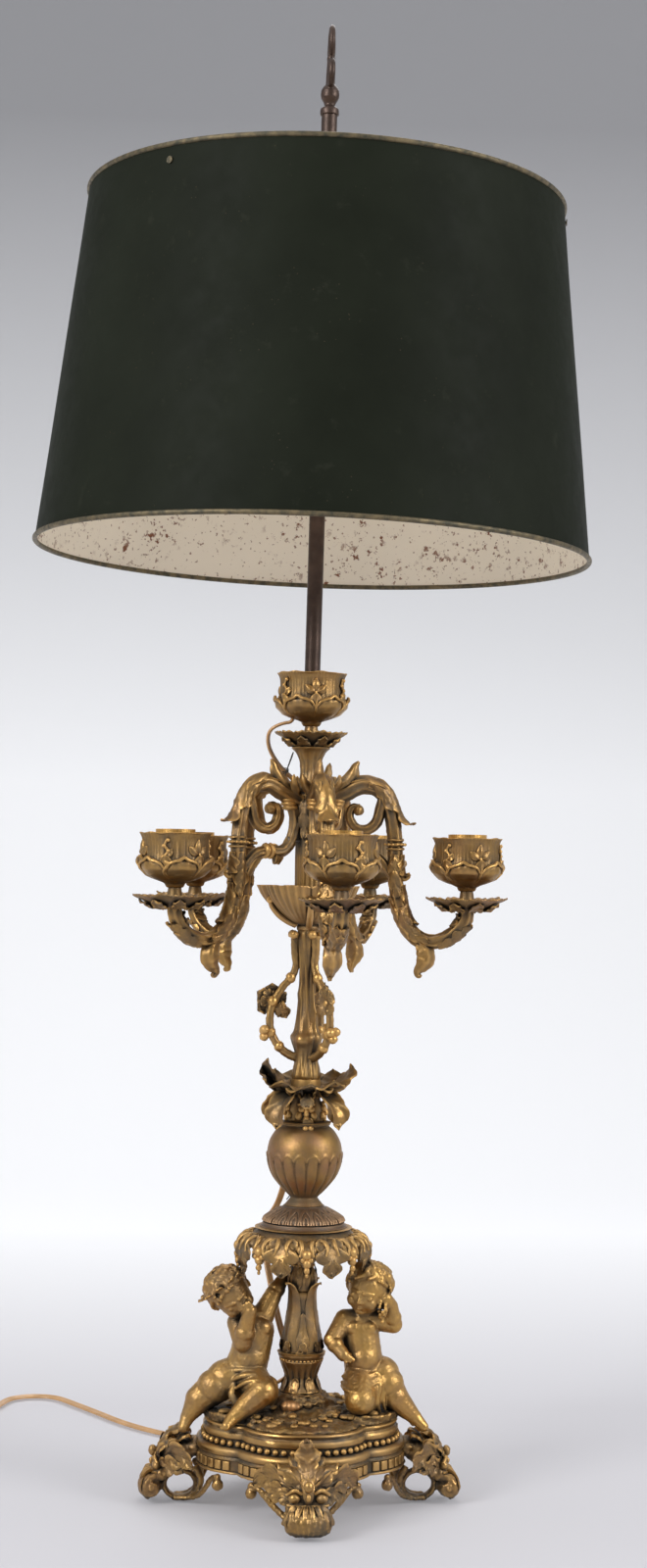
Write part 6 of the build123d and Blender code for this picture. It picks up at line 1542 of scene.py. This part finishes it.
def make_cord(sizes):
    """Flat twin cord, drawn from the plug back to the lamp so that it lies flat on the floor."""
    line = cord_line(cord_points())
    width, thick = sizes.cord_width / MM, sizes.cord_thickness / MM
    outline = []
    for k in range(24):
        angle = tau * k / 24
        waist = 1 - 0.42 * exp(-((cos(angle) / 0.30) ** 2))
        outline.append((cos(angle) * width / 2,
                        sin(angle) * thick / 2 * waist * (1.0 if abs(cos(angle)) < 0.9 else 0.9)))
    back = list(reversed(line))
    length = sum((b - a).length for a, b in zip(line, line[1:]))
    bm = bmesh.new()
    swept(bm, back, ((0, 1), (1, 1)), outline, Z, ((0, 90), (0.55, 90), (0.68, 0), (0.9, 0), (0.96, 45),
                                                   (1, 45)))
    obj = piece("twin_cord", bm, "cord", ["cord_lead", "cord_coil"])
    print("cord line", round(length, 1))


def make_ties():
    """Two small wire ties that hold the cord to the column."""
    for name, centre, r, tail in (
        ("tie_at_hub", (-19.5, 12.4, 520.4), 4.2, ((-16, 9.5, 523), (-13.5, 6, 530), (-12.4, 4, 534),
                                                   (-14.0, 2.5, 530),
                                                  (-17.5, 4, 519), (-19.5, 3, 512), (-18.0, 2, 508),
                                                  (-16.5, 3, 511))),
        ("tie_at_urn", (-10.6, 33.2, 233.0), 4.2, ((-8, 29, 232), (-5, 20, 226), (-9, 12, 217),
                                                   (-12, 5, 214))),
    ):
        bm = bmesh.new()
        centre = Vector(centre)
        for k in range(2):
            ring = [centre + Vector((cos(t) * r, sin(t) * r,
                                     sin(t + 0.4) * 1.6 + k * 1.1)) for t in once_round(24)]
            swept(bm, ring, ((0, 0.42), (1, 0.42)), section(8))
        swept(bm, flowing(tail, 5), ((0, 0.45), (1, 0.38)), section(8))
        piece(name, bm, "wire")


# CAD nodes that stay as they are, by finish
CARRIED = {
    "bright": [f"candle_insert_{number}" for number in range(1, 6)],
    "steel": ["foot_screws", "arm_screws", "tie_rod"],
    "rod": ["lamp_rod", "rod_bush", "clamp_collar", "thumb_screw", "socket_cluster"],
    "rim": ["shade_rims", "spider_rivets"],
    "spider": ["shade_spider"],
    "lacquer": ["sockets"],
    "bulb": ["bulbs"],
    "knob": ["switch_knob_1", "switch_knob_2"],
    "plug": ["plug"],
}


def dress_carried():
    """Give the CAD nodes that stay their finishes."""
    for finish, names in CARRIED.items():
        for name in names:
            obj = frame["nodes"][name]
            obj.data.materials.clear()
            obj.data.materials.append(FINISHES[finish])


# Stage


SENSOR_HEIGHT, LENS, LENS_SHIFT = 36.0, 56.25, (0.0092, 0.0531)
CAMERA_AHEAD = Vector((0.0593, 0.9982, 0)).normalized()
CAMERA_BACK, CAMERA_HEIGHT, CAMERA_ROLL = 1.75, 0.452, radians(0.9)


def make_camera():
    """Camera at the photograph's place, a little rolled."""
    data = bpy.data.cameras.new("camera")
    data.sensor_fit = "VERTICAL"
    data.sensor_height = SENSOR_HEIGHT
    data.lens = LENS
    data.shift_x, data.shift_y = LENS_SHIFT
    data.clip_end = 50
    obj = bpy.data.objects.new("camera", data)
    ahead, roll = CAMERA_AHEAD, CAMERA_ROLL
    right = ahead.cross(Z)
    level, upright = right * cos(roll) + Z * sin(roll), Z * cos(roll) - right * sin(roll)
    obj.matrix_world = Matrix.Translation(ahead * -CAMERA_BACK + Z * CAMERA_HEIGHT) @ Matrix(
        (level, upright, -ahead)).transposed().to_4x4()
    bpy.context.scene.collection.objects.link(obj)
    bpy.context.scene.camera = obj


def stage_floor(look):
    """Pale floor that runs up into a backdrop, which is clear from behind."""
    bm = bmesh.new()
    profile = [(-8.0 + 9.6 * k / 48, 0.0) for k in range(49)]
    profile += [(1.6 + 1.4 * sin(t), 1.4 - 1.4 * cos(t)) for t in (pi / 2 * k / 16 for k in range(1, 17))]
    profile.append((3.0, 6.0))
    verts = [bm.verts.new((-7, y, z - 0.0003)) for y, z in profile]
    edges = [bm.edges.new(pair) for pair in zip(verts, verts[1:])]
    made = bmesh.ops.extrude_edge_only(bm, edges=edges)["geom"]
    bmesh.ops.translate(bm, vec=(14, 0, 0), verts=[v for v in made if isinstance(v, bmesh.types.BMVert)])
    bmesh.ops.recalc_face_normals(bm, faces=bm.faces)
    bm.normal_update()
    if sum(face.normal.z for face in bm.faces) < 0:
        bmesh.ops.reverse_faces(bm, faces=bm.faces)
    mesh = bpy.data.meshes.new("floor")
    bm.to_mesh(mesh)
    bm.free()
    mesh.shade_smooth()
    floor = bpy.data.objects.new("floor", mesh)
    bpy.context.scene.collection.objects.link(floor)
    finish = Finish("floor")
    split = finish.node("ShaderNodeSeparateXYZ", {"Vector": finish.place}).outputs
    # Painted light fall-off: darker near the lamp, brighter behind it, darker high on the backdrop and a
    # little darker towards +X.
    near = finish.level(split["Y"], 0.30, 1.30, 0.0, 1.0)
    high = finish.level(split["Z"], 0.60, 1.90, 0.0, 1.0)
    aside = finish.level(split["X"], -0.2, 1.2, 0.0, 0.10)
    tone = finish.mixed(near, tuple(look.floor), tuple(look.middle))
    tone = finish.mixed(high, tone, tuple(look.upper))
    tone = finish.mixed(aside, tone, scaled(look.floor, 0.8))
    # Painted glow: the floor emits a share of its own tone.
    painted_glow = finish.node("ShaderNodeMixRGB", {"Color1": tone}, blend_type="MULTIPLY", Fac=1.0,
                        Color2=(0.45, 0.45, 0.45, 1))
    mesh.materials.append(finish.wear(
        {"Base Color": tone, "Emission Color": painted_glow.outputs["Color"]}, Roughness=0.8, Metallic=0.0,
        Specular_IOR_Level=0.1, Emission_Strength=1.0))
    clear = finish.node("ShaderNodeBsdfTransparent").outputs["BSDF"]
    behind = finish.node("ShaderNodeNewGeometry").outputs["Backfacing"]
    both = finish.node("ShaderNodeMixShader", {"Fac": behind, 1: finish.shader.outputs["BSDF"], 2: clear})
    finish.tree.links.new(both.outputs["Shader"], finish.tree.nodes["Material Output"].inputs["Surface"])


def stage_lamps(look):
    """Soft lamps on both sides and behind."""
    for name, place, size, energy in (
        ("key", (-1.9, -1.6, 1.7), 1.1, look.key), ("fill", (2.1, -1.3, 1.5), 1.1, look.fill),
        ("back", (0.3, 1.5, 2.2), 1.2, look.back),
    ):
        data = bpy.data.lights.new(name, "AREA")
        data.size, data.energy = size, energy
        lamp = bpy.data.objects.new(name, data)
        lamp.location = place
        lamp.rotation_euler = (Vector((0, 0, 0.5)) - Vector(place)).to_track_quat("-Z", "Y").to_euler()
        bpy.context.scene.collection.objects.link(lamp)


def stage_world(look):
    """Pale surroundings, brighter from above and from the front."""
    world = bpy.data.worlds.new("studio")
    world.use_nodes = True
    tree = world.node_tree
    way = tree.nodes.new("ShaderNodeTexCoord").outputs["Generated"]
    parts = tree.nodes.new("ShaderNodeSeparateXYZ")
    tree.links.new(way, parts.inputs["Vector"])
    shares = []
    for axis, low, high, start, end in (("Z", -0.15, 0.75, look.ambient * 0.55, look.ambient * 1.25),
                                        ("Y", -1.0, 0.1, 0.30, 1.0)):
        share = tree.nodes.new("ShaderNodeMapRange")
        for key, value in (("From Min", low), ("From Max", high), ("To Min", start), ("To Max", end)):
            share.inputs[key].default_value = value
        tree.links.new(parts.outputs[axis], share.inputs["Value"])
        shares.append(share.outputs["Result"])
    both = tree.nodes.new("ShaderNodeMath")
    both.operation = "MULTIPLY"
    tree.links.new(shares[0], both.inputs[0])
    tree.links.new(shares[1], both.inputs[1])
    background = tree.nodes["Background"]
    tree.links.new(both.outputs[0], background.inputs["Strength"])
    background.inputs["Color"].default_value = (0.97, 0.975, 1.0, 1)
    bpy.context.scene.world = world


def make_stage(look):
    """Floor with its backdrop, lamps and surroundings."""
    stage_floor(look)
    stage_lamps(look)
    stage_world(look)
    bpy.context.scene.view_settings.view_transform = "Standard"


# Panel settings


class LampSizes(bpy.types.PropertyGroup):
    """Sizes that a user would change."""

    shade_top: FloatProperty(name="Shade top", description="Upper radius of the shade", default=0.169,
                             unit="LENGTH")
    shade_bottom: FloatProperty(name="Shade bottom", description="Lower radius of the shade", default=0.197,
                                unit="LENGTH")
    cord_width: FloatProperty(name="Cord width", description="Width of the flat cord", default=0.0056,
                              unit="LENGTH")
    cord_thickness: FloatProperty(name="Cord thickness", description="Thickness of the flat cord",
                                  default=0.0028, unit="LENGTH")


def colour_property(name, description, default):
    """A colour setting."""
    return FloatVectorProperty(name=name, description=description, subtype="COLOR", size=3, min=0, max=1,
                               default=default)


class LampColours(bpy.types.PropertyGroup):
    """Colours of the finishes."""

    gold: colour_property("Gold", "Gilding where it is clean", (0.40, 0.238, 0.080))
    copper: colour_property("Copper", "Reddish patches in the gilding", (0.31, 0.165, 0.085))
    # A darkened copy of the patina colour paints the shade in the gilding's deepest recesses.
    patina: colour_property("Patina", "Dull film in the recesses", (0.108, 0.083, 0.056))
    shell: colour_property("Shell dish", "Brighter gilding of the shell dish", (0.50, 0.30, 0.11))
    green: colour_property("Green", "Outside of the shade", (0.0155, 0.0185, 0.0120))
    cream: colour_property("Cream", "Inside of the shade", (0.98, 0.89, 0.73))
    cord: colour_property("Cord", "Clear gold cord", (0.60, 0.34, 0.14))


class StudioLook(bpy.types.PropertyGroup):
    """Floor colour and the strength of the light."""

    # The floor, middle and upper tones paint the fall-off of light over the floor and backdrop.
    floor: colour_property("Floor", "Floor near the lamp", (0.42, 0.415, 0.435))
    middle: colour_property("Middle", "Backdrop behind the lamp's foot", (0.685, 0.69, 0.705))
    upper: colour_property("Upper", "Backdrop behind the shade", (0.245, 0.246, 0.257))
    key: FloatProperty(name="Key", description="Lamp on the left", default=46, unit="POWER")
    fill: FloatProperty(name="Fill", description="Lamp on the right", default=36, unit="POWER")
    back: FloatProperty(name="Back", description="Lamp behind", default=12, unit="POWER")
    ambient: FloatProperty(name="Ambient", description="Strength of the pale surroundings", default=0.8)


def operator(key, label, action):
    """An operator that runs one maker."""
    def execute(self, context):
        action(context.scene)
        return {"FINISHED"}

    return type(f"LAMP_OT_{key}", (bpy.types.Operator,), {
        "__doc__": label, "bl_idname": f"lamp.{key}", "bl_label": label, "bl_options": {"REGISTER", "UNDO"},
        "execute": execute,
    })


OPERATORS = [
    operator("camera", "Place the camera", lambda scene: make_camera()),
    operator("finishes", "Mix the finishes", lambda scene: make_finishes(scene.lamp_colours)),
    operator("cord", "Lay the cord and its ties", lambda scene: (make_cord(scene.lamp_sizes), make_ties())),
    operator("plinth", "Build the plinth", lambda scene: make_plinth()),
    operator("feet", "Build the feet", lambda scene: make_feet()),
    operator("ground", "Build the rocky ground", lambda scene: make_ground()),
    operator("children", "Build the two children", lambda scene: make_children()),
    operator("lower_column", "Build the lower column", lambda scene: make_lower_column()),
    operator("skirt", "Build the leafy skirt", lambda scene: make_skirt()),
    operator("urn", "Build the cap and the urn", lambda scene: make_cap_and_urn()),
    operator("leaves", "Build the leaf whorl and the leaf cup",
             lambda scene: (make_whorl(), make_leaf_cup())),
    operator("trunk", "Build the trunk and its vines", lambda scene: make_trunk()),
    operator("dish", "Build the shell dish", lambda scene: make_shell_dish()),
    operator("hub", "Build the hub and its crown", lambda scene: make_hub()),
    operator("arms", "Build the arms", lambda scene: make_arms()),
    operator("cups", "Build the pans and the cups", lambda scene: make_pans_and_cups()),
    operator("shade", "Build the shade", lambda scene: make_shade(scene.lamp_sizes)),
    operator("finial", "Build the loop handle", lambda scene: make_finial()),
    operator("fittings", "Finish the carried fittings", lambda scene: dress_carried()),
    operator("stage", "Set the stage", lambda scene: make_stage(scene.lamp_studio)),
]


class LAMP_PT_panel(bpy.types.Panel):
    """Settings and makers of the lamp."""

    bl_label = "Candelabra lamp"
    bl_space_type = "VIEW_3D"
    bl_region_type = "UI"
    bl_category = "Lamp"

    def draw(self, context):
        """List the settings and the makers."""
        for group in (context.scene.lamp_sizes, context.scene.lamp_colours, context.scene.lamp_studio):
            for key in group.bl_rna.properties.keys():
                if key not in ("rna_type", "name"):
                    self.layout.prop(group, key)
        for maker in OPERATORS:
            self.layout.operator(maker.bl_idname)


CLASSES = [LampSizes, LampColours, StudioLook, *OPERATORS, LAMP_PT_panel]


def register():
    """Register the classes and the settings."""
    for made in CLASSES:
        bpy.utils.register_class(made)
    bpy.types.Scene.lamp_sizes = PointerProperty(type=LampSizes)
    bpy.types.Scene.lamp_colours = PointerProperty(type=LampColours)
    bpy.types.Scene.lamp_studio = PointerProperty(type=StudioLook)


def unregister():
    """Take them away again."""
    del bpy.types.Scene.lamp_sizes, bpy.types.Scene.lamp_colours, bpy.types.Scene.lamp_studio
    for made in reversed(CLASSES):
        bpy.utils.unregister_class(made)


def main():
    """Build everything in order and write the two boxes."""
    register()
    for maker in OPERATORS:
        group, name = maker.bl_idname.split(".")
        getattr(getattr(bpy.ops, group), name)()


if __name__ == "__main__":
    main()
